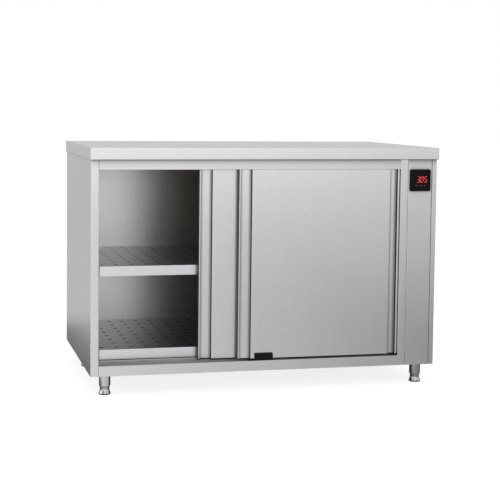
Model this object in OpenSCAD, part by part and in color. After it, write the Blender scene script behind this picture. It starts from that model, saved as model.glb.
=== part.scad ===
// Plate warmer cabinet: a free-standing steel cabinet with two overlapping sliding doors, two perforated
// shelves, a technical column at the right with a fan heater and a thermostat, and four levelling feet.
// Origin on the floor under the centre of the worktop, +X to the right, +Y to the back, +Z up.

/* [Worktop] */
// Width of the worktop
top_w = 1200; // [1000:10:1600]
// Depth of the worktop
top_d = 700; // [680:10:800]
// Height of the worktop's skirts
top_t = 40; // [36:1:60]
// Thickness of the worktop's sheet
top_sheet = 1.2; // [1:0.1:2]
// Width of the flange under each skirt
top_flange = 20; // [12:1:30]
// Overhang of the worktop past each side panel
top_side_over = 3; // [1:0.5:8]
// Overhang of the worktop in front of the body
top_front_over = 12; // [8:1:24]
// Overhang of the worktop behind the body
top_back_over = 6; // [5:0.5:20]
// Width of each stiffening channel under the worktop
stiffener_w = 60; // [40:5:90]
// Height of each stiffening channel
stiffener_h = 30; // [20:1:34]
// Distance between the stiffening channels
stiffener_pitch = 210; // [150:10:230]

/* [Body] */
// Height of the body
body_h = 710; // [650:10:800]
// Thickness of the body's sheets
sheet = 1; // [0.8:0.1:1.4]
// Thickness of the base panel
base_t = 1.5; // [1:0.1:2]
// Height of the base panel's folded edges
base_fold = 14; // [8:1:16]
// Width of the flanges folded along the panels' top edges
edge_w = 15; // [8:1:20]
// Width of the flanges folded along the sides' rear edges
rear_w = 20; // [12:1:26]
// Width of the front posts
post_w = 27; // [20:1:40]
// Height of the front top rail
rail_h = 33; // [30:1:40]
// Height by which the bottom rail is taller than the top rail
rail_extra = 0.5; // [0:0.5:4]
// Width of the control fascia
fascia_w = 86; // [80:1:110]
// Width of the corner strip beside the fascia
strip_w = 17; // [12:1:25]
// Depth of the short folds behind the front faces
fold_d = 15; // [8:1:20]
// Seam between the fascia and the corner strip
seam = 1; // [0.4:0.2:1.6]

/* [Chamber] */
// Insulation between the left side and the chamber
left_ins = 30; // [20:1:40]
// Insulation between the chamber and the back panel
back_ins = 41; // [30:1:60]
// Insulation between the chamber and the technical column
right_ins = 25; // [15:1:30]
// Step from the right post to the chamber's right wall
right_step = 4; // [3:1:10]
// Height of the chamber's ceiling above the lower edge of the top rail
ceiling_rise = 2; // [1:1:4]
// Depth of the sill behind the bottom rail
sill_drop = 13.5; // [10:0.5:15]

/* [Shelves] */
// Height of the middle shelf above the body's underside
mid_shelf_h = 355; // [300:5:420]
// Height of the bottom shelf above the body's underside
low_shelf_h = 77; // [72:1:100]
// Height of the shelves' folded lips
lip_h = 33; // [25:1:38]
// Gap between the rear door and the shelves
shelf_front_gap = 8; // [5:1:20]
// Gap round the shelves' sides and back
shelf_gap = 1; // [0.5:0.5:3]
// Diameter of the shelf perforations
hole_d = 14; // [8:1:20]
// Distance between the perforations across the shelf
hole_pitch_x = 50; // [40:5:80]
// Distance between the rows of perforations
hole_pitch_y = 71; // [50:1:90]
// Unperforated margin round the shelf's top
hole_margin = 28; // [24:1:60]
// Width of the slotted shelf uprights
upright_w = 24; // [16:1:30]
// Thickness of the slotted shelf uprights
upright_t = 3; // [2:0.5:4]
// Distance from the shelf's front and back to the middle of the uprights
upright_inset = 85; // [60:5:120]
// Pitch of the slots in the uprights
slot_pitch = 30; // [20:1:50]
// Length of the shelf clips
clip_l = 14; // [10:1:16]
// Height of the shelf clips
clip_h = 8; // [5:1:10]

/* [Doors] */
// Thickness of the doors
door_t = 20; // [18:1:24]
// Gap between the two doors
door_gap = 5; // [4:0.5:8]
// Gap between the rear door and the rear edge of the door zone
zone_gap = 3; // [3:0.5:5]
// Distance of the front door behind the body's front
door_recess = 6; // [5:0.5:8]
// Width by which the closed doors overlap
door_lap = 96; // [60:2:140]
// Gap between a closed door's edge and its post
door_end_gap = 1; // [0.5:0.5:3]
// Gap between the bottom rail's edge and the doors' lower edges
door_foot_gap = 3; // [2:0.5:5]
// Distance by which the rear door stands open
rear_open = 338; // [100:1:400]
// Width of the lip at each door's left edge
lip_left = 6; // [4:0.5:10]
// Width of the finger groove at each door's left edge
groove_left = 38; // [25:1:45]
// Width of the lip at each door's right edge
lip_right = 8; // [4:0.5:12]
// Width of the finger groove at each door's right edge
groove_right = 25; // [20:1:45]
// Depth of the finger grooves
groove_d = 12; // [8:1:14]

/* [Door gear] */
// Thickness of the track's walls
track_t = 1.5; // [1:0.1:2]
// Inner width of each track channel
channel_w = 21; // [20:0.5:21]
// Inner height of each track channel
channel_h = 17; // [16.5:0.5:18]
// Width of the ledges that the rollers run on
ledge_w = 6; // [5:0.5:7]
// Thickness of the ledges
ledge_t = 2; // [1.5:0.5:3]
// Diameter of the door rollers
roller_d = 15; // [12:0.5:15.5]
// Width of each roller
roller_w = 5.5; // [4:0.5:6]
// Diameter of the roller axles
axle_d = 4; // [3:0.5:5]
// Running clearance of an axle or a shaft in its bore, on the radius
running = 0.05; // [0.02:0.01:0.09]
// Distance from a door's edge to its roller
roller_inset = 30; // [25:1:60]
// Thickness of the hanger stems
hanger_t = 3; // [2:0.5:4]
// Length of the hanger plates
hanger_l = 56; // [40:2:60]
// Thickness of the hanger plates
hanger_plate_t = 2; // [1.5:0.5:3]
// Room between the hanger plates and the ledges
hanger_gap = 5.5; // [4:0.5:7]
// Width of the door guide
guide_w = 64; // [40:1:90]
// Distance of the guide's middle from the middle of the door opening
guide_shift = 41; // [0:1:45]
// Height of the guide's fingers above the rail's edge
guide_rise = 26; // [15:1:40]
// Radius of the guide's upper corners
guide_r = 5; // [1:0.5:8]

/* [Heating] */
// Height of the fan's axis above the chamber floor
fan_h = 200; // [180:5:220]
// Distance of the fan's axis behind the middle of the worktop
fan_y = 10; // [-30:5:60]
// Diameter of the impeller
fan_d = 150; // [120:2:160]
// Number of impeller blades
blades = 14; // [8:1:20]
// Diameter of the fan shaft
shaft_d = 8; // [6:0.5:10]
// Diameter of the fan motor
motor_d = 68; // [50:1:80]
// Length of the fan motor
motor_l = 56; // [40:1:60]
// Gap between the chamber's wall and the impeller's inlet
inlet_gap = 11; // [8:1:14]
// Gap between the impeller's disc and the duct
disc_gap = 9; // [6:1:12]
// Depth of the heater duct
duct_d = 50; // [46:1:56]
// Width of the heater duct
duct_w = 260; // [230:5:300]
// Height of the heater duct
duct_h = 300; // [290:5:315]
// Diameter of the heating tube
heater_d = 8; // [6:0.5:10]
// Gap between the impeller and the heating ring
heater_gap = 13; // [6:1:16]
// Diameter of the suction opening
suction_d = 130; // [100:2:135]
// Height of the air outlets
outlet_h = 12; // [8:1:14]
// Width of each air outlet
outlet_w = 22; // [12:1:24]
// Distance between the air outlets
outlet_pitch = 27; // [25:0.5:28]

/* [Thermostat] */
// Side of the square thermostat front
stat_side = 74; // [60:1:80]
// Distance of the thermostat's middle below the worktop
stat_drop = 71; // [50:1:120]
// Depth of the thermostat behind the fascia
stat_depth = 58; // [40:1:80]
// Thickness of the thermostat's bezel
bezel_t = 3; // [2:0.5:5]
// Thickness of the thermostat's glass
glass_t = 1.2; // [0.8:0.1:2]
// Corner radius of the thermostat's front
stat_r = 4; // [1:0.5:8]

/* [Service side] */
// Width of the service cover
cover_w = 80; // [64:2:80]
// Height of the service cover
cover_h = 480; // [300:10:520]
// Pitch of the louvres
louvre_pitch = 24; // [18:1:40]
// Depth of the louvre hoods
louvre_d = 4; // [2:0.5:4.5]
// Cable diameter that the gland takes
cable_d = 10; // [6:1:12]
// Distance of the gland in front of the body's back
gland_back = 34; // [30:1:40]
// Distance of the terminal block in front of the body's back
terminal_back = 75; // [65:1:100]
// Height of the terminal block
terminal_h = 22; // [18:1:30]
// Diameter of the wiring loom
loom_d = 8; // [6:1:10]

/* [Feet] */
// Height of the body's underside above the floor, feet screwed in
leg_h = 66; // [64:1:70]
// Outer diameter of the leg tubes
leg_d = 38; // [34:1:45]
// Wall of the leg tubes
leg_wall = 2; // [1.5:0.5:3]
// Height of the foot below the leg tube
foot_h = 29; // [26:1:31]
// Diameter of the foot's base
foot_d = 40; // [36:1:50]
// Diameter of the foot's waist
waist_d = 31; // [24:1:33]
// Diameter of the foot's threaded stem
stem_d = 12; // [8:1:16]
// Distance of the front feet behind the worktop's front edge
foot_front = 48; // [48:1:70]
// Distance of the rear feet in front of the worktop's rear edge
foot_back = 190; // [80:5:260]
// Distance of the feet from the worktop's ends
foot_side = 55; // [52:1:62]
// Side of the leg plates
plate_w = 70; // [60:1:72]
// Thickness of the leg plates
plate_t = 3; // [2:0.5:3.5]
// Diameter of the leg screws
leg_screw_d = 6; // [4:0.5:6]

/* [Hidden] */
$fn = 48;
cut = 1;                 // how far a cutting shape runs past a face
seat = 0.2;              // gap at which a moving piece rests on its seat
hole_play = 0.2;         // play of a screw or a tube in its hole, on the radius
steel = [0.78, 0.78, 0.79];
dull_steel = [0.66, 0.67, 0.68];
wool = [0.86, 0.82, 0.62];
black = [0.06, 0.06, 0.07];

// Faces of the worktop and the body
body_x = top_w / 2 - top_side_over;
front_y = -top_d / 2 + top_front_over;
back_y = top_d / 2 - top_back_over;
body_z = leg_h;
under_z = leg_h + body_h;
top_z = under_z + top_t;
fold_z = body_z + base_t;        // upper face of the base panel
post_z = fold_z + plate_t;       // lower end of the posts' folds, over the leg plates

// Door zone behind the front faces
door_y = front_y + door_recess;
rear_y = door_y + door_t + door_gap;
zone_y = rear_y + door_t + zone_gap;

// Opening between the posts
fascia_x1 = body_x - strip_w - seam;
fascia_x0 = fascia_x1 - fascia_w;
open_x0 = -body_x + post_w;
open_x1 = fascia_x0 - post_w;
open_w = open_x1 - open_x0;

// Inner faces of the chamber
in_x0 = -body_x + sheet + left_ins + sheet;
in_x1 = open_x1 + right_step;
in_y1 = back_y - 2 * sheet - back_ins - sheet;
rail_z = body_z + rail_h + rail_extra;
in_z0 = rail_z - sill_drop;
in_z1 = under_z - rail_h + ceiling_rise;

// Door track and doors
channel_y = [door_y + door_t / 2, rear_y + door_t / 2];
track_z1 = under_z - sheet;
ledge_z1 = track_z1 - track_t - channel_h;
ledge_z0 = ledge_z1 - ledge_t;
roller_z = ledge_z1 + roller_d / 2 + seat;
door_z0 = rail_z + door_foot_gap;
door_z1 = ledge_z0 - hanger_gap - hanger_plate_t;
door_w = (open_w + door_lap) / 2;
front_door_x = open_x1 - door_end_gap - door_w;
rear_door_x = open_x0 + door_end_gap + rear_open;
buffer_l = door_end_gap + roller_inset - roller_d / 2 - seat;
board_gap = 0.2;         // gap between the boards of a door's core

// Shelves
shelf_y0 = rear_y + door_t + shelf_front_gap;
shelf_y1 = in_y1 - shelf_gap;
shelf_x0 = in_x0 + upright_t + shelf_gap;
shelf_x1 = in_x1 - upright_t - shelf_gap;
mid_z = body_z + mid_shelf_h;
low_z = body_z + low_shelf_h;
upright_y = [shelf_y0 + upright_inset, shelf_y1 - upright_inset];
upright_z0 = in_z0 + 4;
upright_z1 = in_z1 - 50;

// Fan heater in the technical column
fan_z = in_z0 + fan_h;
wall_x = in_x1 + sheet;
duct_x1 = wall_x + duct_d;
duct_z0 = in_z0 + 2;
hub_x1 = duct_x1 - disc_gap;
blade_x0 = wall_x + inlet_gap;
ring_x = (blade_x0 + hub_x1) / 2;
ring_r = fan_d / 2 + heater_gap + heater_d / 2;
tail_y = 12;
motor_x0 = duct_x1;
boss_r = shaft_d / 2 + 6;

// Thermostat, probe, terminals and gland
stat_x = (fascia_x0 + fascia_x1) / 2;
stat_z = under_z - stat_drop;
stat_in = stat_side - 8;
probe = [in_y1 - 20, in_z1 - 45];
terminal = [stat_x - 6, back_y - terminal_back];
gland = [stat_x - 6, back_y - gland_back];
thread_r = cable_d / 2 + 3;
cover_x = (body_x - rear_w + wall_x + right_ins) / 2 - 1;
cover_z0 = body_z + 60;
screw_r = 1.9;

// Legs and feet
leg_x = top_w / 2 - foot_side;
leg_y = [-top_d / 2 + foot_front, top_d / 2 - foot_back];
nut_z = foot_h + 6;
nut_h = 10;
stem_z1 = in_z0 - sheet - 3;
screw_at = plate_w / 2 - 8;

module box(x, y, z) {
    translate([x[0], y[0], z[0]]) cube([x[1] - x[0], y[1] - y[0], z[1] - z[0]]);
}

module rod_x(r, x0, x1, y, z) {
    translate([x0, y, z]) rotate([0, 90, 0]) cylinder(r = r, h = x1 - x0);
}

module rod_y(r, x, y0, y1, z) {
    translate([x, y0, z]) rotate([-90, 0, 0]) cylinder(r = r, h = y1 - y0);
}

module rod_z(r, x, y, z0, z1) {
    translate([x, y, z0]) cylinder(r = r, h = z1 - z0);
}

module round_rect(w, h, r) {
    square([w - 2 * r, h], center = true);
    square([w, h - 2 * r], center = true);
    for (x = [-1, 1], y = [-1, 1]) translate([x * (w / 2 - r), y * (h / 2 - r)]) circle(r = r);
}

// A plate that stands upright, facing the front, with round corners
module front_plate(x, z, w, h, r, y0, y1) {
    translate([x, y1, z]) rotate([90, 0, 0]) linear_extrude(y1 - y0) round_rect(w, h, r);
}

module worktop() {
    x = top_w / 2;
    y = top_d / 2;
    t = top_sheet;
    color(steel) difference() {
        box([-x, x], [-y, y], [under_z, top_z]);
        box([-x + t, x - t], [-y + t, y - t], [under_z + t, top_z - t]);
        box([-x + top_flange, x - top_flange], [-y + top_flange, y - top_flange],
            [under_z - cut, under_z + 2 * t]);
    }
}

module worktop_stiffeners() {
    x = top_w / 2 - top_flange - 5;
    z1 = top_z - top_sheet;
    z0 = z1 - stiffener_h;
    w = stiffener_w / 2;
    color(dull_steel) for (i = [-1 : 1]) translate([0, i * stiffener_pitch, 0]) {
        box([-x, x], [-w, w], [z0, z0 + top_sheet]);
        for (s = [-1, 1]) {
            box([-x, x], [s * w - top_sheet / 2 - s * top_sheet / 2, s * w + top_sheet / 2 - s * top_sheet / 2],
                [z0, z1]);
            box([-x, x], [s * (w + 5) - 6, s * (w + 5) + 6], [z1 - top_sheet, z1]);
        }
    }
}

// The left side with its front post; mirrored for the right
module side_sheet(front_w, return_d) {
    x = -body_x;
    box([x, x + sheet], [front_y, back_y], [body_z, under_z]);
    box([x, x + front_w], [front_y, front_y + sheet], [body_z, under_z]);
    box([x + front_w - sheet, x + front_w], [front_y, front_y + return_d], [post_z, under_z]);
    box([x, x + rear_w], [back_y - sheet, back_y], [body_z, under_z]);
    box([x, x + edge_w], [front_y, back_y], [under_z - sheet, under_z]);
}

module left_side_panel() {
    color(steel) side_sheet(post_w, zone_y - front_y);
}

module right_side_panel() {
    color(steel) mirror([1, 0, 0]) side_sheet(strip_w, fold_d);
}

module back_panel() {
    y1 = back_y - sheet;
    x = body_x - sheet;
    color(dull_steel) difference() {
        union() {
            box([-x, x], [y1 - sheet, y1], [body_z, under_z - sheet]);
            box([-body_x + edge_w, body_x - edge_w], [y1 - edge_w, y1], [under_z - sheet, under_z]);
        }
        box([cover_x - cover_w / 2 + 12, cover_x + cover_w / 2 - 12], [y1 - 2 * sheet, y1 + cut],
            [cover_z0 + 14, cover_z0 + cover_h - 14]);
        cover_screw_places() rod_y(screw_r + hole_play, 0, y1 - 2 * sheet, y1 + cut, 0);
    }
}

module leg_places() {
    for (x = [-leg_x, leg_x], y = leg_y) translate([x, y, 0]) children();
}

module leg_screw_places() {
    leg_places() for (x = [-1, 1], y = [-1, 1]) translate([x * screw_at, y * screw_at, 0]) children();
}

module base_panel() {
    x = body_x - sheet;
    y0 = front_y + sheet;
    y1 = back_y - 2 * sheet;
    color(dull_steel) difference() {
        union() {
            box([-x, x], [y0, y1], [body_z, fold_z]);
            for (s = [-1, 1]) box([s * (x - sheet / 2) - sheet / 2, s * (x - sheet / 2) + sheet / 2], [y0, y1],
                [body_z, fold_z + base_fold]);
        }
        leg_places() rod_z(leg_d / 2 + hole_play, 0, 0, body_z - cut, fold_z + cut);
        leg_screw_places() rod_z(leg_screw_d / 2 + hole_play, 0, 0, body_z - cut, fold_z + cut);
        rod_z(thread_r + hole_play, gland[0], gland[1], body_z - cut, fold_z + cut);
    }
}

module top_rail() {
    z0 = under_z - rail_h;
    color(steel) {
        box([open_x0, open_x1], [front_y, front_y + sheet], [z0, under_z]);
        box([open_x0, open_x1], [front_y, zone_y], [under_z - sheet, under_z]);
        box([open_x0, open_x1], [zone_y - sheet, zone_y], [z0, under_z]);
    }
}

module bottom_rail() {
    color(steel) {
        box([open_x0, open_x1], [front_y, front_y + sheet], [body_z, rail_z]);
        box([open_x0, open_x1], [front_y, front_y + 1.6 * sheet], [rail_z - 6, rail_z]);
    }
}

module right_post() {
    color(steel) {
        box([open_x1, fascia_x0], [front_y, front_y + sheet], [body_z, under_z]);
        box([open_x1, open_x1 + sheet], [front_y, zone_y], [post_z, under_z]);
        box([fascia_x0 - sheet, fascia_x0], [front_y, front_y + fold_d], [post_z, under_z]);
    }
}

module control_fascia() {
    color(steel) difference() {
        union() {
            box([fascia_x0, fascia_x1], [front_y, front_y + sheet], [body_z, under_z]);
            box([fascia_x0, fascia_x0 + sheet], [front_y, front_y + fold_d], [post_z, under_z]);
            box([fascia_x1 - sheet, fascia_x1], [front_y, front_y + fold_d], [post_z, under_z]);
        }
        box([stat_x - stat_in / 2 - 0.5, stat_x + stat_in / 2 + 0.5], [front_y - cut, front_y + sheet + cut],
            [stat_z - stat_in / 2 - 0.5, stat_z + stat_in / 2 + 0.5]);
    }
}

module chamber_left_wall() {
    color(steel) {
        box([in_x0 - sheet, in_x0], [zone_y, in_y1 + sheet], [in_z0, in_z1]);
        box([open_x0 - sheet, in_x0], [zone_y, zone_y + sheet], [in_z0, in_z1]);
    }
}

module chamber_right_wall() {
    color(steel) difference() {
        union() {
            box([in_x1, wall_x], [zone_y, in_y1 + sheet], [in_z0, in_z1]);
            box([open_x1, wall_x], [zone_y, zone_y + sheet], [in_z0, in_z1]);
        }
        rod_x(suction_d / 2, in_x1 - cut, wall_x + cut, fan_y, fan_z);
        for (i = [-4 : 4]) translate([0, fan_y + i * outlet_pitch, duct_z0 + 3])
            box([in_x1 - cut, wall_x + cut], [-outlet_w / 2, outlet_w / 2], [0, outlet_h]);
        rod_x(3 + hole_play, in_x1 - cut, wall_x + cut, probe[0], probe[1]);
    }
}

module chamber_back_wall() {
    color(steel) box([in_x0, in_x1], [in_y1, in_y1 + sheet], [in_z0, in_z1]);
}

module chamber_ceiling() {
    color(steel) box([in_x0 - sheet, wall_x], [zone_y, in_y1 + sheet], [in_z1, in_z1 + sheet]);
}

module chamber_floor() {
    color(steel) {
        box([open_x0, open_x1], [front_y + 1.6 * sheet, zone_y], [in_z0 - sheet, in_z0]);
        box([in_x0 - sheet, wall_x], [zone_y, in_y1 + sheet], [in_z0 - sheet, in_z0]);
    }
}

module side_insulation() {
    y1 = back_y - 2 * sheet;
    color(wool) {
        box([-body_x + sheet, in_x0 - sheet], [zone_y + sheet, y1], [in_z0, in_z1]);
        difference() {
            box([wall_x, wall_x + right_ins], [zone_y + sheet, y1], [in_z0, in_z1]);
            box([wall_x - cut, duct_x1], [fan_y - duct_w / 2 - 1, fan_y + duct_w / 2 + 1],
                [in_z0 - cut, duct_z0 + duct_h + 1]);
            rod_x(4, wall_x - cut, duct_x1, probe[0], probe[1]);
        }
    }
}

module back_insulation() {
    color(wool) box([in_x0 - sheet, wall_x], [in_y1 + sheet, back_y - 2 * sheet], [in_z0, in_z1]);
}

module ceiling_insulation() {
    color(wool) box([-body_x + edge_w, wall_x + right_ins], [zone_y, back_y - sheet - edge_w],
        [in_z1 + sheet, under_z - sheet]);
}

module floor_insulation() {
    color(wool) difference() {
        box([in_x0 - sheet, wall_x], [zone_y, back_y - 2 * sheet - 1], [fold_z + plate_t, in_z0 - sheet]);
        leg_places() rod_z(stem_d / 2 + 4, 0, 0, fold_z, in_z0);
    }
}

// Two channels that open downwards, each with two ledges for the rollers
module door_track() {
    w = channel_w / 2;
    color([0.75, 0.76, 0.78]) difference() {
        box([open_x0, open_x1], [channel_y[0] - w - track_t, channel_y[1] + w + track_t], [ledge_z0, track_z1]);
        for (y = channel_y) {
            box([open_x0 - cut, open_x1 + cut], [y - w, y + w], [ledge_z1, track_z1 - track_t]);
            box([open_x0 - cut, open_x1 + cut], [y - w + ledge_w, y + w - ledge_w],
                [ledge_z0 - cut, ledge_z1 + cut]);
        }
    }
}

module track_buffers() {
    w = channel_w / 2 - 0.2;
    color(black) for (y = channel_y, x = [open_x0, open_x1 - buffer_l])
        box([x, x + buffer_l], [y - w, y + w], [ledge_z1, ledge_z1 + 14]);
}

// One finger of the guide, with round upper corners
module guide_finger(y0, y1) {
    x = (open_x0 + open_x1) / 2 + guide_shift;
    z1 = rail_z + guide_rise;
    box([x - guide_w / 2, x + guide_w / 2], [y0, y1], [in_z0, z1 - guide_r]);
    box([x - guide_w / 2 + guide_r, x + guide_w / 2 - guide_r], [y0, y1], [z1 - guide_r - 1, z1]);
    for (s = [-1, 1]) rod_y(guide_r, x + s * (guide_w / 2 - guide_r), y0, y1, z1 - guide_r);
}

module door_guide() {
    x = (open_x0 + open_x1) / 2 + guide_shift;
    play = 0.4;
    y0 = front_y + 1.6 * sheet + 0.1;
    color(black) {
        guide_finger(y0, door_y - play);
        guide_finger(door_y + door_t + play, rear_y - play);
        guide_finger(rear_y + door_t + play, zone_y);
        box([x - guide_w / 2, x + guide_w / 2], [y0, zone_y], [in_z0, door_z0 - 1]);
    }
}

module upright(x0, y) {
    n = floor((upright_z1 - upright_z0 - slot_pitch) / slot_pitch);
    difference() {
        box([x0, x0 + upright_t], [y - upright_w / 2, y + upright_w / 2], [upright_z0, upright_z1]);
        for (i = [1 : n]) box([x0 - cut, x0 + upright_t + cut], [y - 2, y + 2],
            [upright_z0 + i * slot_pitch - 6, upright_z0 + i * slot_pitch + 6]);
    }
}

module shelf_uprights() {
    color(dull_steel) for (y = upright_y, x = [in_x0, in_x1 - upright_t]) upright(x, y);
}

module shelf_clips() {
    color(dull_steel) for (z = [mid_z, low_z], y = upright_y) {
        z1 = z - lip_h - seat;
        box([in_x0 + upright_t, in_x0 + upright_t + clip_l], [y - 8, y + 8], [z1 - clip_h, z1]);
        box([in_x1 - upright_t - clip_l, in_x1 - upright_t], [y - 8, y + 8], [z1 - clip_h, z1]);
    }
}

module heater_duct() {
    y0 = fan_y - duct_w / 2;
    y1 = fan_y + duct_w / 2;
    color(dull_steel) difference() {
        box([wall_x, duct_x1], [y0, y1], [duct_z0, duct_z0 + duct_h]);
        box([wall_x - cut, duct_x1 - sheet], [y0 + sheet, y1 - sheet],
            [duct_z0 + sheet, duct_z0 + duct_h - sheet]);
        rod_x(boss_r + 0.3, duct_x1 - 2 * sheet, duct_x1 + cut, fan_y, fan_z);
        for (s = [-1, 1]) rod_x(heater_d / 2 + 1.2, duct_x1 - 2 * sheet, duct_x1 + cut,
            fan_y + s * tail_y, fan_z - ring_r);
    }
}

// A ring round the impeller, open at the bottom, with two terminal sleeves that turn back through the duct
module heating_element() {
    sleeve_r = heater_d / 2 + 1;
    color([0.35, 0.33, 0.32]) {
        difference() {
            translate([ring_x, fan_y, fan_z]) rotate([0, 90, 0])
                rotate_extrude() translate([ring_r, 0]) circle(d = heater_d, $fn = 24);
            box([ring_x - heater_d, ring_x + heater_d], [fan_y - tail_y, fan_y + tail_y],
                [fan_z - ring_r - heater_d, fan_z]);
        }
        for (s = [-1, 1]) rod_x(sleeve_r, ring_x - sleeve_r, duct_x1 + 12, fan_y + s * tail_y, fan_z - ring_r);
    }
}

module fan_grille() {
    color(steel) difference() {
        rod_x(suction_d / 2 + 10, in_x1 - sheet, in_x1, fan_y, fan_z);
        for (i = [1 : 4], k = [0 : 6 * i - 1]) rod_x(4.5, in_x1 - 2 * sheet, in_x1 + cut,
            fan_y + 13.5 * i * cos(60 * k / i), fan_z + 13.5 * i * sin(60 * k / i));
    }
}

module fan_motor() {
    color(dull_steel) difference() {
        union() {
            rod_x(boss_r, motor_x0 - 4, motor_x0 + 1, fan_y, fan_z);
            rod_x(motor_d / 2 + 7, motor_x0, motor_x0 + 2, fan_y, fan_z);
            rod_x(motor_d / 2, motor_x0, motor_x0 + motor_l, fan_y, fan_z);
            rod_x(boss_r, motor_x0 + motor_l - 1, motor_x0 + motor_l + 4, fan_y, fan_z);
        }
        rod_x(shaft_d / 2 + running, motor_x0 - 5, motor_x0 + motor_l, fan_y, fan_z);
    }
}

module overheat_cutout() {
    y = fan_y + duct_w / 2 - 40;
    z = duct_z0 + duct_h - 40;
    color(black) rod_x(12, duct_x1, duct_x1 + 8, y, z);
    color(steel) for (s = [-1, 1]) translate([duct_x1 + 8, y + s * 6, z])
        box([0, 10], [-3, 3], [-0.5, 0.5]);
}

module thermostat_body() {
    w = stat_in / 2;
    color(black) box([stat_x - w, stat_x + w], [front_y - bezel_t, front_y + stat_depth],
        [stat_z - w, stat_z + w]);
}

module thermostat_bezel() {
    color(black) difference() {
        front_plate(stat_x, stat_z, stat_side, stat_side, stat_r, front_y - bezel_t, front_y);
        box([stat_x - stat_in / 2, stat_x + stat_in / 2], [front_y - bezel_t - cut, front_y + cut],
            [stat_z - stat_in / 2, stat_z + stat_in / 2]);
    }
}

module thermostat_glass() {
    y1 = front_y - bezel_t;
    color([0.02, 0.02, 0.03]) front_plate(stat_x, stat_z, stat_side, stat_side, stat_r, y1 - glass_t, y1);
}

module temperature_probe() {
    color(steel) {
        rod_x(3, in_x1 - 26, wall_x + right_ins + 8, probe[0], probe[1]);
        rod_x(8, in_x1 - 2, in_x1, probe[0], probe[1]);
    }
}

module terminal_block() {
    x = terminal[0];
    y = terminal[1];
    color([0.85, 0.85, 0.8]) difference() {
        box([x - 27, x + 27], [y - 12, y + 12], [fold_z, fold_z + terminal_h]);
        for (i = [-2 : 2]) rod_y(3, x + i * 10, y - 13, y + 13, fold_z + 9);
    }
}

// A straight length of wire between two points
module wire(a, b, r) {
    d = b - a;
    l = norm(d);
    translate(a) rotate([0, acos(d[2] / l), atan2(d[1], d[0])]) cylinder(r = r, h = l);
}

module wire_path(points, r) {
    for (i = [0 : len(points) - 2]) wire(points[i], points[i + 1], r);
    for (i = [1 : len(points) - 2]) translate(points[i]) sphere(r = r + 0.8);
}

// The loom climbs behind the duct, runs forward to the thermostat and sends one branch to the fan motor
module wiring_loom() {
    branch_r = 3;
    x = motor_x0 + motor_l - 4;
    branch_x = x - 20;
    y = terminal[1];
    start_z = fold_z + terminal_h;
    high_z = in_z1 - 70;
    stat_y = front_y + stat_depth;
    color([0.2, 0.2, 0.22]) {
        wire_path([[terminal[0], y, start_z], [terminal[0], y, start_z + 28], [x, y, start_z + 48],
            [x, y, high_z], [x, stat_y + 60, high_z], [stat_x, stat_y + 20, stat_z], [stat_x, stat_y, stat_z]],
            loom_d / 2);
        wire([branch_x, y, fan_z], [branch_x, fan_y + motor_d / 2 + 0.3, fan_z], branch_r);
        wire_path([[x, y, fan_z - 30], [branch_x, y, fan_z], [branch_x, y - 20, fan_z]], branch_r);
    }
}

module cover_screw_places() {
    for (x = [-1, 1], z = [8, cover_h / 2, cover_h - 8])
        translate([cover_x + x * (cover_w / 2 - 6), 0, cover_z0 + z]) children();
}

module service_cover() {
    y0 = back_y - sheet;
    w = cover_w / 2 - 18;
    n = floor((cover_h - 60) / louvre_pitch);
    color(steel) difference() {
        union() {
            box([cover_x - cover_w / 2, cover_x + cover_w / 2], [y0, back_y], [cover_z0, cover_z0 + cover_h]);
            for (i = [0 : n]) translate([cover_x - w, back_y - sheet / 2, cover_z0 + 30 + i * louvre_pitch])
                rotate([90, 0, 90]) linear_extrude(2 * w)
                    polygon([[0, 8], [louvre_d + sheet / 2, -4], [louvre_d - sheet / 2, -4], [0, 5]]);
        }
        for (i = [0 : n]) box([cover_x - w + 1, cover_x + w - 1], [y0 - cut, back_y + cut],
            [cover_z0 + 26 + i * louvre_pitch, cover_z0 + 33 + i * louvre_pitch]);
        cover_screw_places() rod_y(screw_r + hole_play, 0, y0 - cut, back_y + cut, 0);
    }
}

module cable_gland() {
    color(black) difference() {
        union() {
            rod_z(thread_r + 4, gland[0], gland[1], body_z - 8, body_z);
            rod_z(thread_r + 2, gland[0], gland[1], body_z - 20, body_z - 8);
            rod_z(thread_r, gland[0], gland[1], body_z, fold_z + 9);
        }
        rod_z(cable_d / 2, gland[0], gland[1], body_z - 21, fold_z + 10);
    }
    color(steel) difference() {
        translate([gland[0], gland[1], fold_z]) cylinder(r = thread_r + 5, h = 5, $fn = 6);
        rod_z(thread_r + running, gland[0], gland[1], fold_z - cut, fold_z + 6);
    }
}

module leg_sockets() {
    color(steel) leg_places() difference() {
        union() {
            rod_z(leg_d / 2, 0, 0, foot_h, fold_z);
            box([-plate_w / 2, plate_w / 2], [-plate_w / 2, plate_w / 2], [fold_z, fold_z + plate_t]);
        }
        rod_z(leg_d / 2 - leg_wall, 0, 0, foot_h - cut, nut_z);
        rod_z(leg_d / 2 - leg_wall, 0, 0, nut_z + nut_h, fold_z);
        rod_z(stem_d / 2 + running, 0, 0, nut_z - cut, nut_z + nut_h + cut);
        rod_z(stem_d / 2 + 1, 0, 0, fold_z - cut, fold_z + plate_t + cut);
        for (x = [-1, 1], y = [-1, 1]) translate([x * screw_at, y * screw_at, 0])
            rod_z(leg_screw_d / 2 + hole_play, 0, 0, fold_z - cut, fold_z + plate_t + cut);
    }
}

module screws() {
    color(steel) {
        leg_screw_places() {
            rod_z(leg_screw_d / 2, 0, 0, body_z - 1, fold_z + plate_t);
            rod_z(leg_screw_d * 0.85, 0, 0, body_z - 4, body_z);
        }
        cover_screw_places() {
            rod_y(screw_r, 0, back_y - 3, back_y + 0.5, 0);
            rod_y(3.5, 0, back_y, back_y + 2, 0);
        }
    }
}

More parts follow.
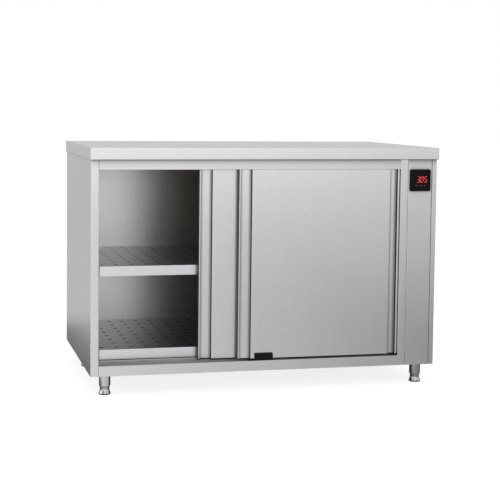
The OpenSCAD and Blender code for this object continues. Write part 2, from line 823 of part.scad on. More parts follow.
// A turned foot with a waist, and the stem that screws into the leg
module foot(x, y) {
    w = waist_d / 2;
    r = foot_d / 2;
    z1 = foot_h - seat;
    color([0.85, 0.85, 0.87]) translate([x, y, 0]) {
        rotate_extrude() polygon([[0, 0], [r - 2.5, 0], [r - 0.8, 0.8], [r, 2.5], [r, 5], [r - 0.9, 9],
            [r - 2.2, 13], [w + 0.8, 19], [w, 24], [w, z1 - 2], [w + 1, z1], [0, z1]]);
        rod_z(stem_d / 2, 0, 0, z1 - 1, stem_z1);
    }
}

module foot_front_left() { foot(-leg_x, leg_y[0]); }
module foot_front_right() { foot(leg_x, leg_y[0]); }
module foot_rear_left() { foot(-leg_x, leg_y[1]); }
module foot_rear_right() { foot(leg_x, leg_y[1]); }

// Outline of a door's front, seen from above, moved inwards by t; y = 0 is the front face
function door_front(t) = [
    [t, t], [lip_left - t, t], [lip_left - t, groove_d + t],
    [lip_left + groove_left + t, groove_d + t], [lip_left + groove_left + t, t],
    [door_w - lip_right - groove_right - t, t], [door_w - lip_right - groove_right - t, groove_d + t],
    [door_w - lip_right + t, groove_d + t], [door_w - lip_right + t, t], [door_w - t, t]];
function door_outline(t, rear) = concat([[t, rear]], door_front(t), [[door_w - t, rear]]);

module door_skin(x, y) {
    color(steel) translate([x, y, door_z0]) difference() {
        linear_extrude(door_z1 - door_z0) polygon(door_outline(0, door_t));
        translate([0, 0, sheet]) linear_extrude(door_z1 - door_z0 - 2 * sheet)
            polygon(door_outline(sheet, door_t + cut));
    }
}

module door_liner(x, y) {
    color(steel) box([x + sheet, x + door_w - sheet], [y + door_t - sheet, y + door_t],
        [door_z0 + sheet, door_z1 - sheet]);
}

// Five boards that fill the skin: an edge strip, a thin board behind the groove, the main board and back again
module door_core(x, y) {
    t = sheet;
    left = lip_left + groove_left + t;
    right = door_w - lip_right - groove_right - t;
    behind = groove_d + t;
    boards = [[t, lip_left - t, t], [lip_left - t + board_gap, left - board_gap, behind], [left, right, t],
        [right + board_gap, door_w - lip_right + t - board_gap, behind],
        [door_w - lip_right + t, door_w - t, t]];
    color(wool) for (b = boards)
        box([x + b[0], x + b[1]], [y + b[2], y + door_t - t], [door_z0 + t, door_z1 - t]);
}

module door_hangers(x, y) {
    stem_w = roller_d - 2;
    color(dull_steel) for (cx = [x + roller_inset, x + door_w - roller_inset]) {
        cy = y + door_t / 2;
        box([cx - hanger_l / 2, cx + hanger_l / 2], [cy - 8, cy + 8], [door_z1, door_z1 + hanger_plate_t]);
        difference() {
            box([cx - stem_w / 2, cx + stem_w / 2], [cy - hanger_t / 2, cy + hanger_t / 2],
                [door_z1, roller_z + axle_d / 2 + 4]);
            rod_y(axle_d / 2 + running, cx, cy - hanger_t, cy + hanger_t, roller_z);
        }
    }
}

module door_roller(x, y) {
    w0 = hanger_t / 2 + 1.2;
    color([0.9, 0.9, 0.88]) {
        rod_y(axle_d / 2, x, y - w0 - 1, y + w0 + 1, roller_z);
        for (y0 = [y - w0 - roller_w, y + w0]) rod_y(roller_d / 2, x, y0, y0 + roller_w, roller_z);
    }
}

module front_door_skin() { door_skin(front_door_x, door_y); }
module front_door_liner() { door_liner(front_door_x, door_y); }
module front_door_core() { door_core(front_door_x, door_y); }
module front_door_hangers() { door_hangers(front_door_x, door_y); }
module rear_door_skin() { door_skin(rear_door_x, rear_y); }
module rear_door_liner() { door_liner(rear_door_x, rear_y); }
module rear_door_core() { door_core(rear_door_x, rear_y); }
module rear_door_hangers() { door_hangers(rear_door_x, rear_y); }
module front_roller_left() { door_roller(front_door_x + roller_inset, channel_y[0]); }
module front_roller_right() { door_roller(front_door_x + door_w - roller_inset, channel_y[0]); }
module rear_roller_left() { door_roller(rear_door_x + roller_inset, channel_y[1]); }
module rear_roller_right() { door_roller(rear_door_x + door_w - roller_inset, channel_y[1]); }

module fan_impeller() {
    r = fan_d / 2;
    color([0.7, 0.71, 0.73]) difference() {
        union() {
            rod_x(12, blade_x0, hub_x1, fan_y, fan_z);
            rod_x(r, hub_x1 - 1.5, hub_x1, fan_y, fan_z);
            difference() {
                rod_x(r, blade_x0, blade_x0 + 1.5, fan_y, fan_z);
                rod_x(r * 0.78, blade_x0 - cut, blade_x0 + 3, fan_y, fan_z);
            }
            for (i = [0 : blades - 1]) translate([0, fan_y, fan_z]) rotate([i * 360 / blades, 0, 0])
                box([blade_x0, hub_x1 - 0.5], [-0.8, 0.8], [r * 0.6, r - 1]);
        }
        rod_x(shaft_d / 2, blade_x0 - cut, hub_x1 + cut, fan_y, fan_z);
    }
}

module fan_shaft() {
    color(steel) rod_x(shaft_d / 2, blade_x0 - 2, motor_x0 + motor_l - 4, fan_y, fan_z);
}

// A tray that opens downwards, with rows of round holes
module shelf(z) {
    nx = floor((shelf_x1 - shelf_x0 - 2 * hole_margin) / hole_pitch_x / 2);
    ny = floor((shelf_y1 - shelf_y0 - 2 * hole_margin) / hole_pitch_y);
    cx = (shelf_x0 + shelf_x1) / 2;
    cy = (shelf_y0 + shelf_y1) / 2;
    color(steel) difference() {
        box([shelf_x0, shelf_x1], [shelf_y0, shelf_y1], [z - lip_h, z]);
        box([shelf_x0 + sheet, shelf_x1 - sheet], [shelf_y0 + sheet, shelf_y1 - sheet],
            [z - lip_h - cut, z - sheet]);
        for (i = [-nx : nx], k = [0 : ny])
            rod_z(hole_d / 2, cx + i * hole_pitch_x, cy + (k - ny / 2) * hole_pitch_y, z - 2 * sheet, z + cut);
    }
}

module middle_shelf() { shelf(mid_z); }
module bottom_shelf() { shelf(low_z); }

worktop();
worktop_stiffeners();
left_side_panel();
right_side_panel();
back_panel();
base_panel();
top_rail();
bottom_rail();
right_post();
control_fascia();
chamber_left_wall();
chamber_right_wall();
chamber_back_wall();
chamber_ceiling();
chamber_floor();
side_insulation();
back_insulation();
ceiling_insulation();
floor_insulation();
door_track();
track_buffers();
door_guide();
shelf_uprights();
shelf_clips();
heater_duct();
heating_element();
fan_grille();
fan_motor();
overheat_cutout();
thermostat_body();
thermostat_bezel();
thermostat_glass();
temperature_probe();
terminal_block();
wiring_loom();
service_cover();
cable_gland();
leg_sockets();
screws();
foot_front_left();
foot_front_right();
foot_rear_left();
foot_rear_right();
front_door_skin();
front_door_liner();
front_door_core();
front_door_hangers();
rear_door_skin();
rear_door_liner();
rear_door_core();
rear_door_hangers();
front_roller_left();
front_roller_right();
rear_roller_left();
rear_roller_right();
fan_impeller();
fan_shaft();
middle_shelf();
bottom_shelf();
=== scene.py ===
# %% [markdown]
# # A plate warmer cabinet in brushed steel
# This lesson dresses a free-standing plate warmer: a steel cabinet with two sliding doors, two
# perforated shelves, a technical column with a thermostat, and four levelling feet. The packed
# CAD model gives the places and the sizes. Blender gives the bent edges, the turned feet and the
# finishes.

# %% Load the frame
import math

import bmesh
import bpy
from mathutils import Matrix, Vector


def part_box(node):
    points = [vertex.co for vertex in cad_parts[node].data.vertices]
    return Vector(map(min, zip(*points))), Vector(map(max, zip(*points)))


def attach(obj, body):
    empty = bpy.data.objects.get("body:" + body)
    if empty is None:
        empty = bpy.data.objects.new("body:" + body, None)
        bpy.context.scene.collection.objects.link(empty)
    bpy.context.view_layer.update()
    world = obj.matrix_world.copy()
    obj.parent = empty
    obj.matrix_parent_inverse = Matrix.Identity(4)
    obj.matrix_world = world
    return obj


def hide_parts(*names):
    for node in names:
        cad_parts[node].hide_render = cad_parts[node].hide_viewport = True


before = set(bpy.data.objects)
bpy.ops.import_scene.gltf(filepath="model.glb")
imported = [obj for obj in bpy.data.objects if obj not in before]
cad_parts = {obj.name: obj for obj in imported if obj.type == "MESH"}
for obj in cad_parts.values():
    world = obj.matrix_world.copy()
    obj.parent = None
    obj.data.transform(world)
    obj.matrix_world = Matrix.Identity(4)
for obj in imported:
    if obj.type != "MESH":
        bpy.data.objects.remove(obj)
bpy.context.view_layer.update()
scene = bpy.context.scene

# %% [markdown]
# ## The camera
# The picture was taken from the left, a little above the worktop. The eye, the turn and the
# focal length were found beforehand by fitting the cabinet's corners to the picture. The window
# is shifted, because the picture is a cropped one.

# %% Camera
FRAME_PX = 500
FOCAL_PX = 1276.022
CENTRE_PX = (215, 195)
EYE = (-1.140824, -4.432080, 0.960140)
YAW, PITCH, ROLL = -0.22927, -0.07148, 0.00972
SENSOR_MM, FAR_CLIP = 36, 50
forward = Vector((-math.sin(YAW) * math.cos(PITCH), math.cos(YAW) * math.cos(PITCH),
                  math.sin(PITCH)))
level = Vector((math.cos(YAW), math.sin(YAW), 0))
upright = level.cross(forward)
right = level * math.cos(ROLL) + upright * math.sin(ROLL)
above = upright * math.cos(ROLL) - level * math.sin(ROLL)

camera_data = bpy.data.cameras.new("camera")
camera_data.sensor_width = SENSOR_MM
camera_data.lens = FOCAL_PX / FRAME_PX * SENSOR_MM
camera_data.shift_x = (FRAME_PX / 2 - CENTRE_PX[0]) / FRAME_PX
camera_data.shift_y = (CENTRE_PX[1] - FRAME_PX / 2) / FRAME_PX
camera_data.clip_end = FAR_CLIP
camera = bpy.data.objects.new("camera", camera_data)
turn = Matrix((right, above, -forward)).transposed().to_4x4()
camera.matrix_world = Matrix.Translation(EYE) @ turn
scene.collection.objects.link(camera)
scene.camera = camera
scene.view_settings.view_transform = "Standard"
print("lens", round(camera_data.lens, 2), "mm, shift", camera_data.shift_x,
      camera_data.shift_y)

# %% [markdown]
# ## A small language for shaders
# A finish is a sum of simple patterns. Written with nodes it is long to read, so one class wraps
# a socket: plus, minus and times on it add the Math nodes, and one method adds any other node.


# %% Socket class
class Sock:
    """An output socket of a node tree, on which plain arithmetic adds Math nodes."""

    def __init__(self, tree, out):
        self.tree, self.out = tree, out

    def node(self, kind, settings=None, inputs=None, out=0):
        """Any node: its settings come first, then the values or links of its sockets."""
        made = self.tree.nodes.new(kind)
        for key, value in (settings or {}).items():
            if key == "stops":
                set_stops(made.color_ramp, value)
            else:
                setattr(made, key, value)
        for key, value in (inputs or {}).items():
            if isinstance(value, Sock):
                self.tree.links.new(value.out, made.inputs[key])
            else:
                made.inputs[key].default_value = value
        return Sock(self.tree, made.outputs[out] if made.outputs else None)

    def math(self, operation, first, second=0.0):
        return self.node("ShaderNodeMath", {"operation": operation}, {0: first, 1: second})

    def __add__(self, other):
        return self.math("ADD", self, other)

    def __radd__(self, other):
        return self.math("ADD", other, self)

    def __sub__(self, other):
        return self.math("SUBTRACT", self, other)

    def __rsub__(self, other):
        return self.math("SUBTRACT", other, self)

    def __mul__(self, other):
        return self.math("MULTIPLY", self, other)

    def __rmul__(self, other):
        return self.math("MULTIPLY", other, self)

    def stretched(self, scale):
        return self.node("ShaderNodeMapping", None, {"Vector": self, "Scale": scale})

    def part(self, axis):
        """One coordinate of a place or a direction."""
        return self.node("ShaderNodeSeparateXYZ", None, {"Vector": self}, axis)

    def noise(self, scale, detail=2.0):
        return self.node("ShaderNodeTexNoise", None,
                         {"Vector": self, "Scale": scale, "Detail": detail})

    def ramp(self, *stops):
        return self.node("ShaderNodeValToRGB", {"stops": stops}, {"Fac": self})

    def faded(self, start, end):
        """0 at start and 1 at end, and the same beyond them."""
        return self.node("ShaderNodeMapRange", {"clamp": True},
                         {"Value": self, "From Min": start, "From Max": end})

    def bump(self, strength, distance):
        return self.node("ShaderNodeBump", None,
                         {"Height": self, "Strength": strength, "Distance": distance})


def set_stops(ramp, stops):
    while len(ramp.elements) < len(stops):
        ramp.elements.new(0.5)
    for element, (at, colour) in zip(ramp.elements, stops):
        element.position = at
        element.color = (*colour, 1)


def finish(name, paint, **fixed):
    """A material: paint says what changes over the surface, fixed what is the same all over it."""
    material = bpy.data.materials.new(name)
    material.use_nodes = True
    tree = material.node_tree
    shader = next(n for n in tree.nodes if n.type == "BSDF_PRINCIPLED")
    for key, value in fixed.items():
        shader.inputs[key.replace("_", " ")].default_value = value
    coordinates = tree.nodes.new("ShaderNodeTexCoord")
    for key, sock in paint(Sock(tree, coordinates.outputs["Object"])).items():
        tree.links.new(sock.out, shader.inputs[key])
    return material


print("socket class ready")

# %% [markdown]
# ## Floor, backdrop and light
# The picture's ground is plain white. The world is white where the camera or a mirror-like
# surface looks at it, and dimmer as a lamp. Where a surface mirrors the key lamp the world
# behind the lamp is dimmed, so the two together don't clip. The floor glows just enough to meet
# that white, and its own shading is added on top, so the cabinet still leaves a soft shadow.

# %% World
WORLD_LIGHT = 0.62
LAMP_SHARE, LAMP_FORTH, LAMP_RISE = 0.60, (-0.2, -0.6), (0.12, 0.30)
world = bpy.data.worlds.new("studio")
world.use_nodes = True
scene.world = world
path_node = world.node_tree.nodes.new("ShaderNodeLightPath")
seen, mirrored, through = [Sock(world.node_tree, path_node.outputs[key])
                           for key in ("Is Camera Ray", "Is Glossy Ray", "Is Transmission Ray")]
ground = next(n for n in world.node_tree.nodes if n.type == "BACKGROUND")
ground.inputs["Color"].default_value = (1, 1, 1, 1)
white = seen.math("MAXIMUM", seen, mirrored.math("MAXIMUM", mirrored, through))
gaze_node = world.node_tree.nodes.new("ShaderNodeTexCoord")
gaze = Sock(world.node_tree, gaze_node.outputs["Generated"])
behind_lamp = gaze.part("Y").faded(*LAMP_FORTH) * gaze.part("Z").faded(*LAMP_RISE) * mirrored
strength = WORLD_LIGHT + white * (1 - WORLD_LIGHT) - behind_lamp * LAMP_SHARE
world.node_tree.links.new(strength.out, ground.inputs["Strength"])
print("world light", WORLD_LIGHT)

# %% [markdown]
# An upright steel face mirrors the floor before it, so what it mirrors there gives the cabinet
# its tones. That glow is painted shade on the floor: brighter at the left and far off, darker
# at the right and near, and black under the cabinet as a painted shadow, which gives the
# polished legs their dark outlines.

# %% Floor
FLOOR_HALF, FLOOR_GREY = 20, 0.34
FLOOR_GLOW, FLOOR_MIRRORED = 0.84, 0.68
DIM_ACROSS, DIM_DEEP, DIM_BASE = (-0.7, 0.9), (-4.0, -1.2), 0.52
UNDER_LEFT, UNDER_RIGHT = (-0.95, -0.75), (0.95, 0.75)
UNDER_FRONT, UNDER_REAR = (-0.42, -0.32), (1.3, 0.9)
floor_bm = bmesh.new()
bmesh.ops.create_grid(floor_bm, x_segments=1, y_segments=1, size=FLOOR_HALF)
floor_mesh = bpy.data.meshes.new("studio_floor")
floor_bm.to_mesh(floor_mesh)
floor_bm.free()
floor = bpy.data.objects.new("studio_floor", floor_mesh)
scene.collection.objects.link(floor)

floor_finish = bpy.data.materials.new("studio_floor")
floor_finish.use_nodes = True
tree = floor_finish.node_tree
tree.nodes.clear()
path = tree.nodes.new("ShaderNodeLightPath")
looked_at = Sock(tree, path.outputs["Is Camera Ray"])
reflected = Sock(tree, path.outputs["Is Glossy Ray"])
spot = Sock(tree, tree.nodes.new("ShaderNodeTexCoord").outputs["Object"])
across, deep = spot.part("X"), spot.part("Y")
# Painted shade in the glow that only mirrors see: darker to the right and near, and a painted
# shadow under the cabinet.
painted_floor_dimming = across.faded(*DIM_ACROSS) * (DIM_BASE + deep.faded(*DIM_DEEP) * (1 - DIM_BASE))
painted_shadow_beneath = (across.faded(*UNDER_LEFT) * across.faded(*UNDER_RIGHT)
           * deep.faded(*UNDER_FRONT) * deep.faded(*UNDER_REAR))
painted_mirror_glow = (FLOOR_MIRRORED - painted_floor_dimming * FLOOR_MIRRORED) * (1 - painted_shadow_beneath)
glow = looked_at * FLOOR_GLOW + reflected * painted_mirror_glow
lit = looked_at.node("ShaderNodeBsdfDiffuse", None, {"Color": (FLOOR_GREY,) * 3 + (1,)})
glowing = looked_at.node("ShaderNodeEmission", None,
                         {"Color": (1, 1, 1, 1), "Strength": glow})
both = looked_at.node("ShaderNodeAddShader", None, {0: lit, 1: glowing})
both.node("ShaderNodeOutputMaterial", None, {"Surface": both})
floor_mesh.materials.append(floor_finish)
print("floor", tuple(round(v, 2) for v in floor.dimensions))


# %% Soft lamps
def soft_lamp(name, place, target, width, height, power):
    data = bpy.data.lights.new(name, "AREA")
    data.shape = "RECTANGLE"
    data.size, data.size_y = width, height
    data.energy = power
    lamp = bpy.data.objects.new(name, data)
    lamp.location = place
    lamp.rotation_euler = (Vector(target) - Vector(place)).to_track_quat("-Z", "Y").to_euler()
    scene.collection.objects.link(lamp)


soft_lamp("key_lamp", (-0.1, -4.4, 2.7), (-0.2, 0, 0.5), 4.6, 4.6, 42)
soft_lamp("fill_lamp", (3.3, -3.2, 2.0), (0, 0, 0.4), 2.0, 2.0, 5)
soft_lamp("side_lamp", (-4.0, -0.4, 2.4), (0, 0, 0.5), 3.4, 3.4, 19)

# %% [markdown]
# ## Brushed steel
# Every outer sheet is stainless steel brushed in one direction. Real grain is far finer than a
# pixel, so what the eye gets is faint streaks along the brushing, a slight cloudiness, and a
# soft reflection. Noise that is squeezed across the grain gives the streaks; it tints the colour
# a little, moves the roughness and raises a very low bump. Some sheets get painted crease shade,
# which darkens the colour beside their folds; on the front frame it also darkens the colour
# beside the parts near it. On the doors it looks at the door alone, so that nothing of the
# door's place is painted on it.

# %% Steel finishes
GRAZING = 0.62
GRAIN = {"x": (1, 60, 60), "z": (60, 60, 1)}
FINE_STREAK, WIDE_STREAK, CLOUD = 26, 3.1, 2.4
RELIEF_M = 0.0002


def brushed_steel(name, grain, dark, pale, roughness, relief=0.12, crease=None, alone=True):
    """Steel with its grain along one axis; crease is the reach of the painted crease shade in
    metres.
    """
    def paint(place):
        along = place.stretched(GRAIN[grain])
        streak = along.noise(FINE_STREAK, 4) * 0.7 + along.noise(WIDE_STREAK, 2) * 0.3
        cloud = place.noise(CLOUD, 2)
        colour = (streak * 0.75 + cloud * 0.25).ramp((0.36, (dark, dark, dark * 1.01)),
                                                     (0.64, (pale, pale, pale * 1.01)))
        if crease:
            # Painted shade: the occlusion darkens the colour in creases, and with alone off also
            # beside nearby parts.
            open_sky = place.node("ShaderNodeAmbientOcclusion",
                                  {"only_local": alone, "samples": 8}, {"Distance": crease}, "AO")
            shade = open_sky * open_sky
            # Sockets 6 and 7 of the Mix node are its two colours, and its output 2 is their mix.
            colour = colour.node("ShaderNodeMix", {"data_type": "RGBA", "blend_type": "MULTIPLY"},
                                 {0: 1.0, 6: colour, 7: shade}, 2)
        return {
            "Base Color": colour,
            "Roughness": roughness + (streak - 0.5) * 0.12 + (cloud - 0.5) * 0.06,
            "Normal": streak.bump(relief, RELIEF_M),
        }

    return finish(name, paint, Metallic=1.0, Specular_Tint=(GRAZING, GRAZING, GRAZING, 1))


SATIN = {g: brushed_steel("satin_steel_" + g, g, 0.70, 0.75, 0.30, 0.09) for g in "xz"}
# The shelves, ceiling and floor take a paler copy of the inner steel than the walls: painted
# light.
INNER = {"x": brushed_steel("inner_steel_x_lit", "x", 0.74, 0.80, 0.30),
         "z": brushed_steel("inner_steel_z", "z", 0.63, 0.69, 0.30)}
# The front frame's finish paints shade from nearby parts too, such as under the worktop's
# overhang.
FRAME = {g: brushed_steel("satin_steel_frame_" + g, g, 0.70, 0.74, 0.28, 0.08, 0.03, alone=False)
         for g in "xz"}
# The louvred cover takes a darker copy of the satin steel with crease shading: painted shade.
LOUVRE = brushed_steel("satin_steel_louvre_shaded", "z", 0.56, 0.62, 0.34, crease=0.012)
# The sill's steel is a darker copy of the inner steel: painted shade, for the shade under the
# bottom shelf and behind the doors.
SHADED_SILL = brushed_steel("inner_steel_sill_shaded", "x", 0.52, 0.58, 0.36)
DOOR = brushed_steel("satin_steel_door", "z", 0.71, 0.75, 0.29, 0.08, 0.011)
# A near-black door finish for the faces that look to the left: painted shade.
DOOR_SIDE_SHADE = brushed_steel("satin_steel_door_side_shade", "z", 0.08, 0.12, 0.42, crease=0.013)
print("steel finishes", [m.name for m in bpy.data.materials if "steel" in m.name])

# %% [markdown]
# ## Other finishes
# The black parts are moulded plastic with a fine grain, the feet are turned and polished, the
# hidden sheets are galvanised with their large crystal flowers, and the insulation is yellow
# wool.


# %% Plastics, rubber and nylon
def moulded(name, dark, pale, roughness, grain=900, relief=0.25, gloss=0.5):
    def paint(place):
        pores, patch = place.noise(grain, 3), place.noise(14, 2)
        return {
            "Base Color": (pores * 0.4 + patch * 0.6).ramp((0.35, dark), (0.65, pale)),
            "Roughness": roughness + (pores - 0.5) * 0.2 + (patch - 0.5) * 0.1,
            "Normal": pores.bump(relief, RELIEF_M),
        }

    return finish(name, paint, Specular_IOR_Level=gloss)


BLACK = moulded("black_plastic", (0.006, 0.006, 0.0065), (0.012, 0.012, 0.0125), 0.40,
                gloss=0.12)
RUBBER = moulded("buffer_rubber", (0.012, 0.012, 0.012), (0.022, 0.022, 0.022), 0.72, 500, 0.4,
                 gloss=0.2)
LEAD = moulded("wire_rubber", (0.014, 0.014, 0.015), (0.024, 0.024, 0.026), 0.58, 700, gloss=0.2)
NYLON = moulded("roller_nylon", (0.74, 0.73, 0.68), (0.84, 0.83, 0.79), 0.42, 600, 0.15)
TERMINAL = moulded("terminal_plastic", (0.66, 0.65, 0.60), (0.76, 0.75, 0.71), 0.50, 700, 0.2)
print("moulded finishes ready")


# %% Polished, galvanised and heated metal
def plain_metal(name, dark, pale, roughness, scale=120, relief=0.05, grazing=1.0):
    def paint(place):
        fine, cloud = place.noise(scale, 4), place.noise(9, 2)
        return {
            "Base Color": (fine * 0.4 + cloud * 0.6).ramp((0.35, dark), (0.65, pale)),
            "Roughness": roughness + (fine - 0.5) * 0.14 + (cloud - 0.5) * 0.10,
            "Normal": fine.bump(relief, RELIEF_M),
        }

    return finish(name, paint, Metallic=1.0, Specular_Tint=(grazing, grazing, grazing, 1))


def galvanised(name):
    def paint(place):
        flower = place.node("ShaderNodeTexVoronoi", None, {"Vector": place, "Scale": 70.0},
                            "Color")
        crystal = flower.node("ShaderNodeRGBToBW", None, {"Color": flower})
        fine = place.noise(400, 2)
        return {
            "Base Color": crystal.ramp((0.1, (0.42, 0.44, 0.46)), (0.9, (0.58, 0.60, 0.61))),
            "Roughness": 0.34 + crystal * 0.16 + (fine - 0.5) * 0.1,
            "Normal": fine.bump(0.08, RELIEF_M),
        }

    return finish(name, paint, Metallic=1.0)


# The polish darkens almost to black at grazing angles: painted shade for the dark outlines of the
# feet and leg tubes.
CHROME = plain_metal("foot_steel", (0.52, 0.52, 0.53), (0.62, 0.62, 0.63), 0.07, grazing=0.05)
PROBE = plain_metal("probe_steel", (0.52, 0.52, 0.53), (0.62, 0.62, 0.62), 0.28)
HEATER = plain_metal("heater_steel", (0.10, 0.085, 0.075), (0.19, 0.16, 0.14), 0.48, 200, 0.15)
ALUMINIUM = plain_metal("fan_aluminium", (0.62, 0.63, 0.64), (0.72, 0.73, 0.74), 0.34, 260, 0.1)
ZINC = galvanised("galvanised_steel")
print("metal finishes ready")


# %% Glass front and wool
def paint_glass(place):
    haze = place.noise(30, 3)
    return {
        "Base Color": haze.ramp((0.3, (0.006, 0.006, 0.007)), (0.7, (0.010, 0.010, 0.012))),
        "Roughness": 0.05 + haze * 0.06,
    }


def paint_wool(place):
    fibre = place.stretched((1, 6, 1)).noise(160, 5)
    clump = place.noise(22, 3)
    return {
        "Base Color": (fibre * 0.5 + clump * 0.5).ramp((0.34, (0.42, 0.34, 0.14)),
                                                       (0.66, (0.70, 0.62, 0.34))),
        "Roughness": 0.85 + fibre * 0.1,
        "Normal": (fibre * 0.7 + clump * 0.3).bump(0.8, 0.002),
    }


def paint_glow(place):
    patch = place.noise(300, 2)
    colour = patch.ramp((0.3, (0.86, 0.035, 0.03)), (0.7, (1.0, 0.07, 0.05)))
    return {"Base Color": colour, "Emission Color": colour}


# A near-black finish for the walls of the shelves' holes: painted shade inside the holes.
HOLE_SHADE = plain_metal("hole_wall_shade", (0.04, 0.04, 0.04), (0.08, 0.08, 0.08), 0.55, 500, 0.3)
GLASS = finish("display_glass", paint_glass, Specular_IOR_Level=0.10)
WOOL = finish("mineral_wool", paint_wool)
GLOW = finish("display_digits", paint_glow, Roughness=0.4, Emission_Strength=0.6)
MARKS = moulded("display_marks", (0.36, 0.36, 0.37), (0.46, 0.46, 0.47), 0.5)
print("finishes:", len(bpy.data.materials))

# %% [markdown]
# ## From a bmesh to a piece
# All shapes are worked out in millimetres, as in the CAD. A finished shape is shaded smooth
# except over sharp edges, scaled to metres, put on its body, and stands for its CAD node where
# it has one. A Weighted Normal modifier keeps the big flat faces flat beside their narrow round
# edges.

# %% Making a piece
MM = 0.001
SHARP = math.radians(40)
BIG_FACE = 1000


def box_mm(node):
    """Lowest and highest corner of a CAD node in millimetres."""
    lo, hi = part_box(node)
    return Vector(lo) / MM, Vector(hi) / MM


def add_piece(bm, name, body, slot, material, *nodes):
    for face in bm.faces:
        face.smooth = True
    for edge in bm.edges:
        edge.smooth = len(edge.link_faces) == 2 and edge.calc_face_angle() < SHARP
    bmesh.ops.scale(bm, vec=(MM, MM, MM), verts=bm.verts)
    mesh = bpy.data.meshes.new(name)
    bm.to_mesh(mesh)
    bm.free()
    mesh.materials.append(material)
    piece = bpy.data.objects.new(name, mesh)
    scene.collection.objects.link(piece)
    weighted = piece.modifiers.new("flat_faces", "WEIGHTED_NORMAL")
    weighted.keep_sharp = True
    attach(piece, body)
    if nodes:
        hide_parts(*nodes)
    size = [round(v / MM, 1) for v in piece.dimensions]
    print(name, "faces", len(mesh.polygons), "size mm", size)
    return piece


def dress(material, *nodes):
    """A CAD node whose shape is right keeps it and takes a finish."""
    for node in nodes:
        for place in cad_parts[node].material_slots:
            place.material = material


# %% [markdown]
# ## Bent sheet
# A press brake bends a flat blank along straight lines. The same is done here: a line of corners
# is drawn, pulled out to the sheet's length, its folds are rounded with a bevel, and at the end
# the surface gets the sheet's thickness. It grows to the right of the way the corners are walked.

# %% Helpers for sheet, plates and turned shapes
TURN = {"x": Matrix(((0, 0, 1), (1, 0, 0), (0, 1, 0))),
        "y": Matrix(((0, 1, 0), (0, 0, 1), (1, 0, 0))), "z": Matrix.Identity(3)}


def only_verts(geom):
    return [g for g in geom if isinstance(g, bmesh.types.BMVert)]


def round_edges(bm, edges, radius, segments=4):
    bmesh.ops.bevel(bm, geom=edges, offset=radius, offset_type="OFFSET", segments=segments,
                    profile=0.5, affect="EDGES", clamp_overlap=True, material=-1)


def cut(bm, place, normal, clear=False):
    """Cuts every face along a plane; clear also takes away what lies beyond it."""
    bmesh.ops.bisect_plane(bm, geom=bm.verts[:] + bm.edges[:] + bm.faces[:], dist=0.001,
                           plane_co=place, plane_no=normal, clear_outer=clear)


def stretch_ends(bm, axis, low, high):
    """Moves the first and the last row of corners along an axis to low and high."""
    index = "xyz".index(axis)
    places = [v.co[index] for v in bm.verts]
    first, last = min(places), max(places)
    for vert in bm.verts:
        if abs(vert.co[index] - first) < 0.01:
            vert.co[index] = low
        elif abs(vert.co[index] - last) < 0.01:
            vert.co[index] = high


def folded_sheet(corners, axis, start, end, bend):
    """One face of a bent strip; corners are in the two axes that follow axis."""
    bm = bmesh.new()
    line = [bm.verts.new((u, v, start)) for u, v in corners]
    drawn = [bm.edges.new(pair) for pair in zip(line, line[1:])]
    pulled = bmesh.ops.extrude_edge_only(bm, edges=drawn)["geom"]
    bmesh.ops.translate(bm, vec=(0, 0, end - start), verts=only_verts(pulled))
    round_edges(bm, [e for e in bm.edges if len(e.link_faces) == 2], bend)
    bmesh.ops.transform(bm, matrix=TURN[axis].to_4x4(), verts=bm.verts)
    bm.normal_update()
    return bm


def thicken(bm, sheet):
    """Gives a face its wall, on the side it looks away from."""
    bm.normal_update()
    bmesh.ops.solidify(bm, geom=bm.faces[:], thickness=sheet)
    return bm


def block(lo, hi):
    bm = bmesh.new()
    bmesh.ops.create_cube(bm, size=1)
    bmesh.ops.scale(bm, vec=Vector(hi) - Vector(lo), verts=bm.verts)
    bmesh.ops.translate(bm, vec=(Vector(lo) + Vector(hi)) / 2, verts=bm.verts)
    return bm


def edges_along(bm, axis):
    index = "xyz".index(axis)
    return [e for e in bm.edges
            if abs((e.verts[0].co - e.verts[1].co).normalized()[index]) > 0.999]


def prism(points, axis, start, end):
    """A closed solid: points are its outline in the two axes that follow axis."""
    bm = bmesh.new()
    base = bm.faces.new([bm.verts.new((u, v, start)) for u, v in points])
    risen = bmesh.ops.extrude_face_region(bm, geom=[base])["geom"]
    bmesh.ops.translate(bm, vec=(0, 0, end - start), verts=only_verts(risen))
    bmesh.ops.transform(bm, matrix=TURN[axis].to_4x4(), verts=bm.verts)
    bmesh.ops.recalc_face_normals(bm, faces=bm.faces)
    return bm


def rounded_block(lo, hi, axis, radius, edge, segments=6):
    """A block with round corners seen along axis, and softened edges."""
    bm = block(lo, hi)
    round_edges(bm, edges_along(bm, axis), radius, segments)
    ends = {e for f in bm.faces if abs(f.normal["xyz".index(axis)]) > 0.99 for e in f.edges}
    round_edges(bm, list(ends), edge, 3)
    return bm


def turned(profile, centre, axis="z", steps=48):
    """A shape from the lathe: profile is radius and height from the centre."""
    bm = bmesh.new()
    line = [bm.verts.new((r, 0, h)) for r, h in profile]
    for pair in zip(line, line[1:]):
        bm.edges.new(pair)
    bmesh.ops.spin(bm, geom=bm.verts[:] + bm.edges[:], cent=(0, 0, 0), axis=(0, 0, 1),
                   dvec=(0, 0, 0), angle=2 * math.pi, steps=steps, use_merge=True)
    bmesh.ops.remove_doubles(bm, verts=bm.verts, dist=0.001)
    bmesh.ops.recalc_face_normals(bm, faces=bm.faces)
    bmesh.ops.transform(bm, matrix=Matrix.Translation(centre) @ TURN[axis].to_4x4(),
                        verts=bm.verts)
    return bm


def join(*parts):
    """Several shapes in one bmesh."""
    whole = parts[0]
    for part in parts[1:]:
        mesh = bpy.data.meshes.new("part")
        part.to_mesh(mesh)
        part.free()
        whole.from_mesh(mesh)
        bpy.data.meshes.remove(mesh)
    return whole


print("helpers ready")

